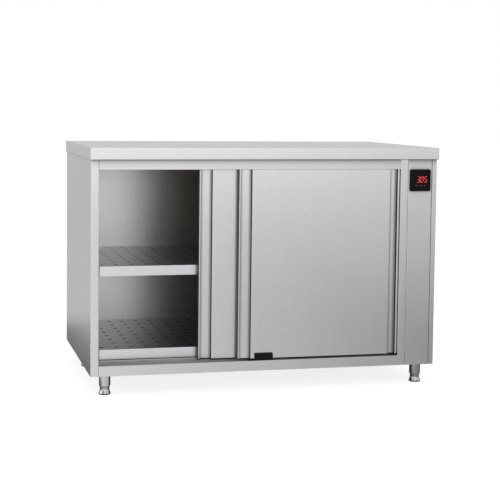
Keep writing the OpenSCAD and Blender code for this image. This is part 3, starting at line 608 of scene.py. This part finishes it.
# %% [markdown]
# ## The worktop
# A worktop is one sheet, folded down on four sides and again inwards under the skirts, with its
# corners welded and ground. A block with all its edges rounded has that outside; the underside
# is opened by an inset, and the rest gets the sheet's thickness.

# %% Worktop
TOP_SHEET, TOP_FLANGE, TOP_BEND = 1.2, 20, 2.2
top_lo, top_hi = box_mm("worktop")
bm = block(top_lo, top_hi)
round_edges(bm, bm.edges[:], TOP_BEND)
underside = [f for f in bm.faces if f.normal.z < -0.99 and f.calc_area() > BIG_FACE]
bmesh.ops.inset_region(bm, faces=underside, thickness=TOP_FLANGE - TOP_BEND,
                       use_even_offset=True)
bmesh.ops.delete(bm, geom=underside, context="FACES")
add_piece(thicken(bm, TOP_SHEET), "worktop_tray", "carcass", "satin_steel", SATIN["x"],
          "worktop")

# %% [markdown]
# ## Side panels
# Each side is folded round at the front and again at the rear, where it ends in a flange. The
# left side's front post ends in a deep return that hides the doors' edge; the right side ends in
# a narrow corner strip.

# %% Side panels
SHEET, BEND = 1.0, 1.6
side_lo, side_hi = box_mm("left_side_panel")
x, y0, y1, z0, z1 = side_lo.x, side_lo.y, side_hi.y, side_lo.z, side_hi.z
POST_W, RETURN_Y, REAR_W, STRIP_W, STRIP_FOLD = 27, -284, 20, 17, 15
left_side = [(x + POST_W, RETURN_Y), (x + POST_W, y0), (x, y0), (x, y1), (x + REAR_W, y1)]
right_side = [(-x - REAR_W, y1), (-x, y1), (-x, y0), (-x - STRIP_W, y0),
              (-x - STRIP_W, y0 + STRIP_FOLD)]
for name, corners in (("left_side", left_side), ("right_side", right_side)):
    bm = folded_sheet(corners, "z", z0, z1, BEND)
    add_piece(thicken(bm, SHEET), name, "carcass", "satin_steel", FRAME["z"], name + "_panel")

# %% [markdown]
# ## Rails, post and fascia
# The front frame is made of narrow bent sections. Their turned-in edges are what makes a thin
# sheet look solid: light runs along each small radius. The fascia has a window for the
# thermostat's body.

# %% Rails
RAIL_LIP, RAIL_BEND = 3.5, 1.2
rail_lo, rail_hi = box_mm("top_rail")
y0, y1, z0, z1 = rail_lo.y, rail_hi.y, rail_lo.z, rail_hi.z
bm = folded_sheet([(y0 + RAIL_LIP, z0), (y0, z0), (y0, z1), (y1, z1), (y1, z0)], "x",
                  rail_lo.x, rail_hi.x, RAIL_BEND)
add_piece(thicken(bm, SHEET), "top_rail_section", "carcass", "satin_steel", FRAME["x"],
          "top_rail")

bottom_lo, bottom_hi = box_mm("bottom_rail")
y0, z0, z1 = bottom_lo.y, bottom_lo.z, bottom_hi.z
HEM_SHEET, HEM_W, HEM_DROP, HEM_BEND = 0.75, 1.6, 6, 0.78
bm = folded_sheet([(y0, z0), (y0, z1), (y0 + HEM_W, z1), (y0 + HEM_W, z1 - HEM_DROP)], "x",
                  bottom_lo.x, bottom_hi.x, HEM_BEND)
add_piece(thicken(bm, HEM_SHEET), "bottom_rail_section", "carcass", "satin_steel", SATIN["x"],
          "bottom_rail")

# %% Right post and fascia
post_lo, post_hi = box_mm("right_post")
x0, x1, y0, y1 = post_lo.x, post_hi.x, post_lo.y, post_hi.y
bm = folded_sheet([(x1, y0 + STRIP_FOLD), (x1, y0), (x0, y0), (x0, y1)], "z",
                  post_lo.z, post_hi.z, BEND)
add_piece(thicken(bm, SHEET), "right_post_section", "carcass", "satin_steel", SATIN["z"],
          "right_post")

stat_lo, stat_hi = box_mm("thermostat_body")
face_lo, face_hi = box_mm("control_fascia")
x0, x1, y0 = face_lo.x, face_hi.x, face_lo.y
bm = folded_sheet([(x1, face_hi.y), (x1, y0), (x0, y0), (x0, face_hi.y)], "z",
                  face_lo.z, face_hi.z, BEND)
WINDOW_PLAY, NEAR_MIDDLE = 0.5, 5
for x in (stat_lo.x - WINDOW_PLAY, stat_hi.x + WINDOW_PLAY):
    cut(bm, (x, 0, 0), (1, 0, 0))
for z in (stat_lo.z - WINDOW_PLAY, stat_hi.z + WINDOW_PLAY):
    cut(bm, (0, 0, z), (0, 0, 1))
stat_mid = (stat_lo + stat_hi) / 2
hole = [f for f in bm.faces if (f.calc_center_median() - stat_mid).xz.length < NEAR_MIDDLE]
bmesh.ops.delete(bm, geom=hole, context="FACES")
add_piece(thicken(bm, SHEET), "fascia", "carcass", "satin_steel", FRAME["z"], "control_fascia")

# %% [markdown]
# ## Sliding doors
# A door is a shallow steel tray with a finger groove pressed down each side. Its outline seen
# from above is drawn once and pulled up to the door's height. All upright folds get the bend's
# radius, the upper and lower edges a smaller one, and the back is left open for the liner. What
# looks to the left gets a near-black finish, painted shade, as the picture has it, and a band
# along the lower edge is painted black, a painted shadow for the gap below the door.

# %% Doors
LIP_L, GROOVE_L, LIP_R, GROOVE_R, GROOVE_D = 6, 38, 8, 25, 12
DOOR_BEND, DOOR_RIM, GAP_SHADOW_H, SHADED_FACING = 2.5, 0.6, 4.4, -0.6
LINER_RIM, FIELD_EDGE, FIELD_DEPTH = 34, 3, 1.6
DOOR_SHADE_FINISHES = (DOOR_SIDE_SHADE, BLACK)


def door_skin(lo, hi):
    a, b, f, r = lo.x, hi.x, lo.y, hi.y
    g = f + GROOVE_D
    outline = [(a, r), (a, f), (a + LIP_L, f), (a + LIP_L, g), (a + LIP_L + GROOVE_L, g),
               (a + LIP_L + GROOVE_L, f), (b - LIP_R - GROOVE_R, f), (b - LIP_R - GROOVE_R, g),
               (b - LIP_R, g), (b - LIP_R, f), (b, f), (b, r)]
    bm = prism(outline, "z", lo.z, hi.z)
    round_edges(bm, [e for e in edges_along(bm, "z") if e.verts[0].co.y < r - 1], DOOR_BEND, 5)
    rims = {e for face in bm.faces if abs(face.normal.z) > 0.99 for e in face.edges
            if min(v.co.y for v in e.verts) < r - 1 or abs(e.verts[0].co.x - e.verts[1].co.x) < 1}
    round_edges(bm, list(rims), DOOR_RIM, 2)
    back = [face for face in bm.faces
            if face.normal.y > 0.99 and face.calc_center_median().y > r - 0.5]
    bmesh.ops.delete(bm, geom=back, context="FACES")
    return bm


def door_liner(lo, hi):
    """The inner sheet: a flat rim round a shallow pressed field."""
    bm = bmesh.new()
    corners = [(lo.x, lo.z), (lo.x, hi.z), (hi.x, hi.z), (hi.x, lo.z)]
    field = bm.faces.new([bm.verts.new((x, hi.y, z)) for x, z in corners])
    for width, depth in ((LINER_RIM, 0), (FIELD_EDGE, -FIELD_DEPTH)):
        bm.normal_update()
        bmesh.ops.inset_individual(bm, faces=[field], thickness=width, depth=depth,
                                   use_even_offset=True)
    return bm


for door in ("front_door", "rear_door"):
    lo, hi = box_mm(door + "_skin")
    bm = door_skin(lo, hi)
    # A band along the lower edge is cut off to be painted black: a painted shadow for the gap
    # below the door.
    cut(bm, (0, 0, lo.z + GAP_SHADOW_H), (0, 0, 1))
    thicken(bm, SHEET)
    bm.normal_update()
    # Faces that look to the left take the near-black finish: painted shade.
    for face in bm.faces:
        low = face.calc_center_median().z < lo.z + GAP_SHADOW_H
        face.material_index = 2 if low else int(face.normal.x < SHADED_FACING)
    shell = add_piece(bm, door + "_shell", door, "satin_steel", DOOR, door + "_skin")
    for material in DOOR_SHADE_FINISHES:
        shell.data.materials.append(material)
    bm = thicken(door_liner(*box_mm(door + "_liner")), SHEET)
    add_piece(bm, door + "_inner_sheet", door, "inner_steel", INNER["z"], door + "_liner")

# %% [markdown]
# ## Perforated shelves
# Warm air rises through rows of round holes. One cell is a rectangle bridged to a circle, whose
# rim is pressed down a little; copies of it make the field, which is trimmed to the shelf's
# size. The field's edge is pulled down into the lips, the folds are rounded, and the whole gets
# its thickness.

# %% Shelves
HOLE_D, PITCH_X, PITCH_Y, COLUMNS, ROWS, HOLE_RIM = 14, 50, 71, 21, 8, 0.8
HOLE_STEPS, SHELF_BEND, LIP_ZONE = 20, 1.8, 3


def holed_plate(width, depth, radius, slot=0.0, rim=0.0):
    """One rectangle with a round hole, or a slot with round ends, round the origin, facing up."""
    bm = bmesh.new()
    plate = bmesh.ops.create_grid(bm, x_segments=1, y_segments=1, size=0.5)["verts"]
    bmesh.ops.scale(bm, vec=(width, depth, 1), verts=plate)
    bmesh.ops.delete(bm, geom=bm.faces[:], context="FACES_ONLY")
    bmesh.ops.subdivide_edges(bm, edges=bm.edges[:], cuts=HOLE_STEPS // 4 - 1)
    outer = bm.edges[:]
    circle = bmesh.ops.create_circle(bm, cap_ends=False, segments=HOLE_STEPS,
                                     radius=radius)["verts"]
    for vert in circle:
        vert.co.x += math.copysign(slot / 2, vert.co.x) if abs(vert.co.x) > 0.01 else 0
    inner = list({e for v in circle for e in v.link_edges})
    bmesh.ops.bridge_loops(bm, edges=outer + inner)
    if rim:
        pressed = only_verts(bmesh.ops.extrude_edge_only(bm, edges=inner)["geom"])
        bmesh.ops.scale(bm, vec=(1 - rim / radius, 1 - rim / radius, 1), verts=pressed)
        bmesh.ops.translate(bm, vec=(0, 0, -rim), verts=pressed)
    bmesh.ops.recalc_face_normals(bm, faces=bm.faces)
    if sum(f.normal.z for f in bm.faces) < 0:
        bmesh.ops.reverse_faces(bm, faces=bm.faces)
    return bm


def repeat(bm, count, step):
    """Copies of what is there, each a step further, merged where they touch."""
    first = bm.verts[:] + bm.edges[:] + bm.faces[:]
    for i in range(1, count):
        copy = bmesh.ops.duplicate(bm, geom=first)["geom"]
        bmesh.ops.translate(bm, vec=Vector(step) * i, verts=only_verts(copy))
    bmesh.ops.remove_doubles(bm, verts=bm.verts, dist=0.01)


def shelf_tray(lo, hi):
    middle = (lo + hi) / 2
    bm = holed_plate(PITCH_X, PITCH_Y, HOLE_D / 2, rim=HOLE_RIM)
    bmesh.ops.translate(bm, verts=bm.verts, vec=(middle.x - PITCH_X * (COLUMNS - 1) / 2,
                                                 middle.y - PITCH_Y * (ROWS - 1) / 2, hi.z))
    repeat(bm, COLUMNS, (PITCH_X, 0, 0))
    repeat(bm, ROWS, (0, PITCH_Y, 0))
    cut(bm, (lo.x, 0, 0), (-1, 0, 0), clear=True)
    cut(bm, (hi.x, 0, 0), (1, 0, 0), clear=True)
    stretch_ends(bm, "y", lo.y, hi.y)

    def on_rim(vert):
        return min(abs(vert.co.x - lo.x), abs(vert.co.x - hi.x), abs(vert.co.y - lo.y),
                   abs(vert.co.y - hi.y)) < 0.01

    rim = [e for e in bm.edges if e.is_boundary and on_rim(e.verts[0]) and on_rim(e.verts[1])]
    pulled = bmesh.ops.extrude_edge_only(bm, edges=rim)["geom"]
    bmesh.ops.translate(bm, vec=(0, 0, lo.z - hi.z), verts=only_verts(pulled))
    bm.normal_update()
    folds = [e for e in bm.edges if len(e.link_faces) == 2 and e.calc_face_angle() > 1]
    round_edges(bm, folds, SHELF_BEND)
    return bm


for shelf in ("middle_shelf", "bottom_shelf"):
    lo, hi = box_mm(shelf)
    bm = thicken(shelf_tray(lo, hi), SHEET)
    bm.normal_update()
    # The hole walls take the near-black finish: painted shade.
    for face in bm.faces:
        at = face.calc_center_median()
        inside = (lo.x + LIP_ZONE < at.x < hi.x - LIP_ZONE
                  and lo.y + LIP_ZONE < at.y < hi.y - LIP_ZONE)
        face.material_index = int(inside and abs(face.normal.z) < 0.9 and at.z > hi.z - 2 * SHEET)
    tray = add_piece(bm, shelf + "_tray", shelf, "inner_steel", INNER["x"], shelf)
    tray.data.materials.append(HOLE_SHADE)

# %% [markdown]
# ## The sill behind the doors
# Behind the doors the chamber floor ends in a low upright flange, which keeps crumbs out of the
# door zone. It is an angle with its upper edge folded over, and it shows under the bottom shelf.
# Its corners are walked down the front, so the sheet grows forwards.

# %% Sill
SILL_H, SILL_D, SILL_HEM, SILL_DROP, SILL_SHEET, SILL_BEND = 21, 20, 2, 4, 0.8, 0.9
SILL_Y, SILL_LIFT, SILL_PLAY = RETURN_Y + 0.4, 1, 1
chamber_lo, chamber_hi = box_mm("chamber_back_wall")
floor_z = box_mm("chamber_floor")[1].z
corners = [(SILL_Y + SILL_HEM, floor_z + SILL_H - SILL_DROP),
           (SILL_Y + SILL_HEM, floor_z + SILL_H), (SILL_Y, floor_z + SILL_H),
           (SILL_Y, floor_z + SILL_LIFT), (RETURN_Y + SILL_D, floor_z + SILL_LIFT)]
bm = folded_sheet(corners, "x", chamber_lo.x + SILL_PLAY, chamber_hi.x - SILL_PLAY, SILL_BEND)
# Its darker steel is painted shade.
add_piece(thicken(bm, SILL_SHEET), "inner_sill", "carcass", "inner_steel", SHADED_SILL)

# %% [markdown]
# ## The thermostat
# A square digital thermostat is clipped into the fascia. Its bezel is a thin moulded ring; the
# tinted glass on it has ground edges. Red figures glow on the glass, and four grey touch marks
# stand below them. The figures are seven-segment bars, thin plates that lean a little, as on the
# real display.

# %% Thermostat bezel and glass
CORNER_R, BEZEL_WALL, BEZEL_EDGE, GLASS_EDGE = 4, 4, 0.4, 0.45
bm = rounded_block(*box_mm("thermostat_bezel"), "y", CORNER_R, BEZEL_EDGE)
bm.normal_update()
faces = [f for f in bm.faces if abs(f.normal.y) > 0.99 and f.calc_area() > BIG_FACE]
bmesh.ops.inset_individual(bm, faces=faces, thickness=BEZEL_WALL - BEZEL_EDGE,
                           use_even_offset=True)
opening = [e for f in faces for e in f.edges]
bmesh.ops.delete(bm, geom=faces, context="FACES_ONLY")
bmesh.ops.bridge_loops(bm, edges=opening)
bmesh.ops.recalc_face_normals(bm, faces=bm.faces)
add_piece(bm, "thermostat_ring", "carcass", "black_plastic", BLACK, "thermostat_bezel")

glass_lo, glass_hi = box_mm("thermostat_glass")
bm = rounded_block(glass_lo, glass_hi, "y", CORNER_R, GLASS_EDGE)
add_piece(bm, "thermostat_front", "carcass", "display_glass", GLASS, "thermostat_glass")

# %% Glowing figures
SEGMENTS = {"3": "abgcd", "0": "abcdef", "5": "afgcd"}
FIGURE_W, FIGURE_H, STROKE, LEAN, FIGURE_PITCH, PROUD = 10.5, 21, 1.9, 0.2, 13, 0.15
BAR_GAP, SHIFT_X, SHIFT_Z = 0.25, 5.9, 2.5
glass_mid = (glass_lo + glass_hi) / 2
half_w, half_h = (FIGURE_W - STROKE) / 2, (FIGURE_H - STROKE) / 2
BARS = {"a": (0, half_h, 0), "b": (half_w, half_h / 2, 1), "c": (half_w, -half_h / 2, 1),
        "d": (0, -half_h, 0), "e": (-half_w, -half_h / 2, 1), "f": (-half_w, half_h / 2, 1),
        "g": (0, 0, 0)}


def bar(x, z, stands):
    """One bar of a figure, with pointed ends."""
    half = (half_h / 2 if stands else half_w) - BAR_GAP
    t = STROKE / 2
    points = [(-half, 0), (t - half, -t), (half - t, -t), (half, 0), (half - t, t), (t - half, t)]
    outline = [(z + u, x + v) if stands else (z + v, x + u) for u, v in points]
    return prism(outline, "y", glass_lo.y - PROUD, glass_lo.y)


figures = []
for i, figure in enumerate("305"):
    for key in SEGMENTS[figure]:
        x, z, stands = BARS[key]
        figures.append(bar(x + (i - 1) * FIGURE_PITCH, z, stands))
bm = join(*figures)
for vert in bm.verts:
    vert.co += Vector((glass_mid.x + SHIFT_X + vert.co.z * LEAN, 0, glass_mid.z + SHIFT_Z))
add_piece(bm, "display_figures", "carcass", "display_glass", GLOW)

# %% Touch marks
MARK_BORE, MARK_R, MARK_PROUD, MARK_DROP, MARK_X = 0.8, 1.5, 0.1, 17.6, (-15, -5, 5, 15)
mark = [(MARK_BORE, 0), (MARK_R, 0), (MARK_R, -MARK_PROUD), (MARK_BORE, -MARK_PROUD),
        (MARK_BORE, 0)]
marks = [turned(mark, (glass_mid.x + x, glass_lo.y, glass_mid.z - MARK_DROP), "y", 16)
         for x in MARK_X]
add_piece(join(*marks), "touch_marks", "carcass", "display_glass", MARKS)

# %% [markdown]
# ## The door guide
# The doors hang from above; a black plastic comb below keeps their lower edges in line. Its
# section is drawn once and pulled to the guide's width, then the upper corners of its three
# fingers are rounded, so a door that swings a little slides in without catching.

# %% Door guide
GUIDE_R, GUIDE_EDGE, GUIDE_BASE, DOOR_PLAY = 5, 0.5, 15.5, 0.4
guide_lo, guide_hi = box_mm("door_guide")
front_lo, front_hi = box_mm("front_door_skin")
rear_lo, rear_hi = box_mm("rear_door_skin")
y = [guide_lo.y, front_lo.y - DOOR_PLAY, front_hi.y + DOOR_PLAY, rear_lo.y - DOOR_PLAY,
     rear_hi.y + DOOR_PLAY, guide_hi.y]
low, high, base = guide_lo.z, guide_hi.z, guide_lo.z + GUIDE_BASE
comb = [(y[0], low), (y[5], low), (y[5], high), (y[4], high), (y[4], base), (y[3], base),
        (y[3], high), (y[2], high), (y[2], base), (y[1], base), (y[1], high), (y[0], high)]
bm = prism(comb, "x", guide_lo.x, guide_hi.x)
round_edges(bm, [e for e in edges_along(bm, "y") if e.verts[0].co.z > high - 1], GUIDE_R, 6)
sharp = [e for e in bm.edges if e.calc_face_angle() > 1
         and min(v.co.z for v in e.verts) > base - 0.1
         and max(v.co.z for v in e.verts) > base + 1]
round_edges(bm, sharp, GUIDE_EDGE, 2)
add_piece(bm, "door_comb", "carcass", "black_plastic", BLACK, "door_guide")

# %% [markdown]
# ## Legs and feet
# Each leg is a tube welded to a square plate, with a nut inside. A turned and polished foot
# screws into it: it has a black pad, a flared base, a slim waist and a threaded stem. The
# lathe's profile is spun once round. The stem's rings are cut at the thread's pitch, which at
# this size reads as a thread.

# %% Leg tubes
LEG_X, LEG_Y = 545, (-302, 160)
TUBE_R, TUBE_WALL, TUBE_EDGE, NUT_RISE, NUT_H = 19, 2, 0.5, 6, 10
PLATE_W, PLATE_T, PLATE_R, PLATE_REACH = 70, 3, 6, 45
STEM_R, STEM_PLAY = 6, 0.3
leg_lo, leg_hi = box_mm("leg_sockets")
tube_z, fold_z, plate_z = leg_lo.z, leg_hi.z - PLATE_T, leg_hi.z
nut_z, bore = tube_z + NUT_RISE, TUBE_R - TUBE_WALL
tube = [(bore + TUBE_EDGE, tube_z), (TUBE_R - TUBE_EDGE, tube_z), (TUBE_R, tube_z + TUBE_EDGE),
        (TUBE_R, fold_z), (bore, fold_z), (bore, nut_z + NUT_H),
        (STEM_R + STEM_PLAY, nut_z + NUT_H), (STEM_R + STEM_PLAY, nut_z), (bore, nut_z),
        (bore, tube_z + TUBE_EDGE), (bore + TUBE_EDGE, tube_z)]
legs = []
for x in (-LEG_X, LEG_X):
    for y in LEG_Y:
        legs.append(turned(tube, (x, y, 0), steps=64))
        plate = holed_plate(PLATE_W, PLATE_W, STEM_R + 1)
        bmesh.ops.translate(plate, vec=(x, y, plate_z), verts=plate.verts)
        thicken(plate, PLATE_T)
        corners = [e for e in edges_along(plate, "z")
                   if (e.verts[0].co.xy - Vector((x, y))).length > PLATE_REACH]
        round_edges(plate, corners, PLATE_R, 5)
        legs.append(plate)
add_piece(join(*legs), "leg_tubes", "carcass", "foot_steel", CHROME, "leg_sockets")

# %% Turned feet
FOOT = [(0, 0), (17.0, 0), (18.8, 0.5), (19.7, 1.5), (20, 3), (19.8, 4.6), (19.2, 6.4),
        (18.3, 8.6), (17.3, 11), (16.5, 13.6), (16.0, 16.5), (15.8, 20), (15.9, 23.5),
        (16.2, 26.2), (16.6, 27.4), (16.5, 28.2), (15.9, 28.8)]
THREAD_PITCH, THREAD_DEPTH, STEM_TOP, PAD_TOP = 1.75, 0.7, 82, 4.7
THREAD_START, THREAD_SHORT, NECK, CHAMFER = 0.6, 1.5, 0.4, 1
neck_z = FOOT[-1][1]
thread = [(STEM_R - (i % 2) * THREAD_DEPTH, neck_z + THREAD_START + i * THREAD_PITCH / 2)
          for i in range(int((STEM_TOP - neck_z - THREAD_SHORT) / THREAD_PITCH * 2))]
profile = (FOOT + [(STEM_R - NECK, neck_z)] + thread
           + [(STEM_R - CHAMFER, STEM_TOP), (0, STEM_TOP)])
for end, y in (("front", LEG_Y[0]), ("rear", LEG_Y[1])):
    for side, x in (("left", -LEG_X), ("right", LEG_X)):
        bm = turned(profile, (x, y, 0), steps=56)
        for face in bm.faces:
            face.material_index = int(face.calc_center_median().z < PAD_TOP)
        body = end + "_" + side + "_foot"
        foot = add_piece(bm, body + "_turned", body, "foot_steel", CHROME,
                         "foot_" + end + "_" + side)
        foot.data.materials.append(RUBBER)

# %% [markdown]
# ## Back and underside
# The service cover at the back lets the technical column breathe through pressed louvres. Each
# hood is a bent wedge, open below, so splashes run off it; the plate behind it has a slot with
# round ends.

# %% Service cover
LOUVRES, LOUVRE_PITCH, LOUVRE_HALF, FIRST_SLOT, SLOT_R, SLOT_L = 18, 24, 22, 29.5, 3.5, 35
FIRST_HOOD, HOOD_D, HOOD_UP, HOOD_DOWN, HOOD_LIP = 30, 4.4, 8, 4, 0.8
HOOD_BEND, HOOD_SHEET = 1.1, 0.7
cover_lo, cover_hi = box_mm("service_cover")
cover_y = cover_lo.y + SHEET
cover_x = (cover_lo.x + cover_hi.x) / 2
bm = holed_plate(cover_hi.x - cover_lo.x, LOUVRE_PITCH, SLOT_R, SLOT_L)
bmesh.ops.rotate(bm, verts=bm.verts, cent=(0, 0, 0),
                 matrix=Matrix.Rotation(-math.pi / 2, 3, "X"))
bmesh.ops.translate(bm, vec=(cover_x, cover_y, cover_lo.z + FIRST_SLOT), verts=bm.verts)
repeat(bm, LOUVRES, (0, 0, LOUVRE_PITCH))
stretch_ends(bm, "z", cover_lo.z, cover_hi.z)
thicken(bm, SHEET)


def louvre_hood(z):
    low, tip = z - HOOD_DOWN, cover_y + HOOD_D
    wedge = [(cover_y, z + HOOD_UP), (tip - 0.5, low + HOOD_LIP), (tip - 0.4, low), (cover_y, low)]
    hood = prism(wedge, "x", cover_x - LOUVRE_HALF, cover_x + LOUVRE_HALF)
    round_edges(hood, [e for e in hood.edges if max(v.co.y for v in e.verts) > cover_y + 1
                       and min(v.co.z for v in e.verts) > low + 0.1], HOOD_BEND, 3)
    hood.normal_update()
    below = [f for f in hood.faces if f.normal.z < -0.99 or f.normal.y < -0.99]
    bmesh.ops.delete(hood, geom=below, context="FACES")
    return thicken(hood, HOOD_SHEET)


bm = join(bm, *[louvre_hood(cover_lo.z + FIRST_HOOD + i * LOUVRE_PITCH) for i in range(LOUVRES)])
add_piece(bm, "louvred_cover", "carcass", "satin_steel", LOUVRE, "service_cover")

# %% [markdown]
# Round-headed screws hold the cover, and hexagon socket screws the legs. Small ones run down the
# rear flanges of the sides, where the back panel is fixed.

# %% Screws
LEG_SCREW = [(0, 3.4), (1.7, 3.4), (1.7, 2.2), (4.0, 2.2), (4.8, 2.6), (5.1, 3.2), (5.1, 4),
             (3, 4), (3, 8.5), (0, 8.5)]
COVER_SCREW = [(0, -3.4), (1.9, -3.4), (1.9, 0), (3.5, 0), (3.4, 0.7), (2.7, 1.5), (1.3, 1.9),
               (0.9, 1.4), (0, 1.4)]
SCREW_STEPS, SCREW_AT, COVER_AT_X, COVER_AT_Z, COVER_D = 24, 27, 34, (8, 240, 472), 4
RIM_X, RIM_FIRST, RIM_PITCH, RIM_SCREWS = 587, 100, 107, 7
screw_z = box_mm("screws")[0].z
fixings = [turned(LEG_SCREW, (x + dx, y + dy, screw_z), steps=SCREW_STEPS)
           for x in (-LEG_X, LEG_X) for y in LEG_Y
           for dx in (-SCREW_AT, SCREW_AT) for dy in (-SCREW_AT, SCREW_AT)]
fixings += [turned(COVER_SCREW, (cover_x + dx, cover_hi.y - COVER_D, cover_lo.z + dz), "y",
                   SCREW_STEPS) for dx in (-COVER_AT_X, COVER_AT_X) for dz in COVER_AT_Z]
add_piece(join(*fixings), "leg_and_cover_screws", "carcass", "probe_steel", PROBE, "screws")

rim = [turned(COVER_SCREW, (x, side_hi.y, RIM_FIRST + i * RIM_PITCH), "y", SCREW_STEPS)
       for x in (-RIM_X, RIM_X) for i in range(RIM_SCREWS)]
add_piece(join(*rim), "rim_screws", "carcass", "probe_steel", PROBE)

# %% Cable gland
gland_lo, gland_hi = box_mm("cable_gland")
x, y = (gland_lo.x + gland_hi.x) / 2, (gland_lo.y + gland_hi.y) / 2
under = gland_lo.z
GLAND_BORE, GLAND_R, GLAND_NUT_R, GLAND_NUT_H, GLAND_EDGE = 5, 8, 13, 5, 0.5
CAP = [(8.4, 0), (9.4, 0.6), (10, 2), (10, 12), (12, 12), (12, 20), (GLAND_R, 20)]
RINGS, RING_DEPTH, RING_STEP, RING_START = 13, 0.6, 0.75, 20.5
dome = [(GLAND_BORE, under)] + [(r, under + h) for r, h in CAP]
dome += [(GLAND_R - (i % 2) * RING_DEPTH, under + RING_START + i * RING_STEP)
         for i in range(RINGS)]
dome += [(GLAND_BORE, gland_hi.z), (GLAND_BORE, under)]
nut = [(x + GLAND_NUT_R * math.cos(i * math.pi / 3), y + GLAND_NUT_R * math.sin(i * math.pi / 3))
       for i in range(6)]
nut_bm = prism(nut, "z", fold_z, fold_z + GLAND_NUT_H)
round_edges(nut_bm, nut_bm.edges[:], GLAND_EDGE, 2)
add_piece(join(turned(dome, (x, y, 0)), nut_bm), "cable_inlet", "carcass", "black_plastic", BLACK,
          "cable_gland")

# %% [markdown]
# ## Parts that keep their CAD shape
# What stands inside or behind is plain in shape, so the CAD nodes stay as they are and only take
# a finish.

# %% Finishes of the CAD nodes
dress(INNER["z"], "chamber_left_wall", "chamber_right_wall", "chamber_back_wall",
      "shelf_uprights", "shelf_clips", "fan_grille")
dress(INNER["x"], "chamber_ceiling", "chamber_floor")
dress(SATIN["z"], "back_panel")
dress(ZINC, "worktop_stiffeners", "base_panel", "heater_duct", "fan_motor", "door_track",
      "front_door_hangers", "rear_door_hangers")
dress(WOOL, "side_insulation", "back_insulation", "ceiling_insulation", "floor_insulation",
      "front_door_core", "rear_door_core")
dress(BLACK, "thermostat_body", "overheat_cutout")
dress(RUBBER, "track_buffers")
dress(NYLON, "front_roller_left", "front_roller_right", "rear_roller_left",
      "rear_roller_right")
dress(HEATER, "heating_element")
dress(ALUMINIUM, "fan_impeller")
dress(PROBE, "temperature_probe", "fan_shaft")
dress(TERMINAL, "terminal_block")
dress(LEAD, "wiring_loom")
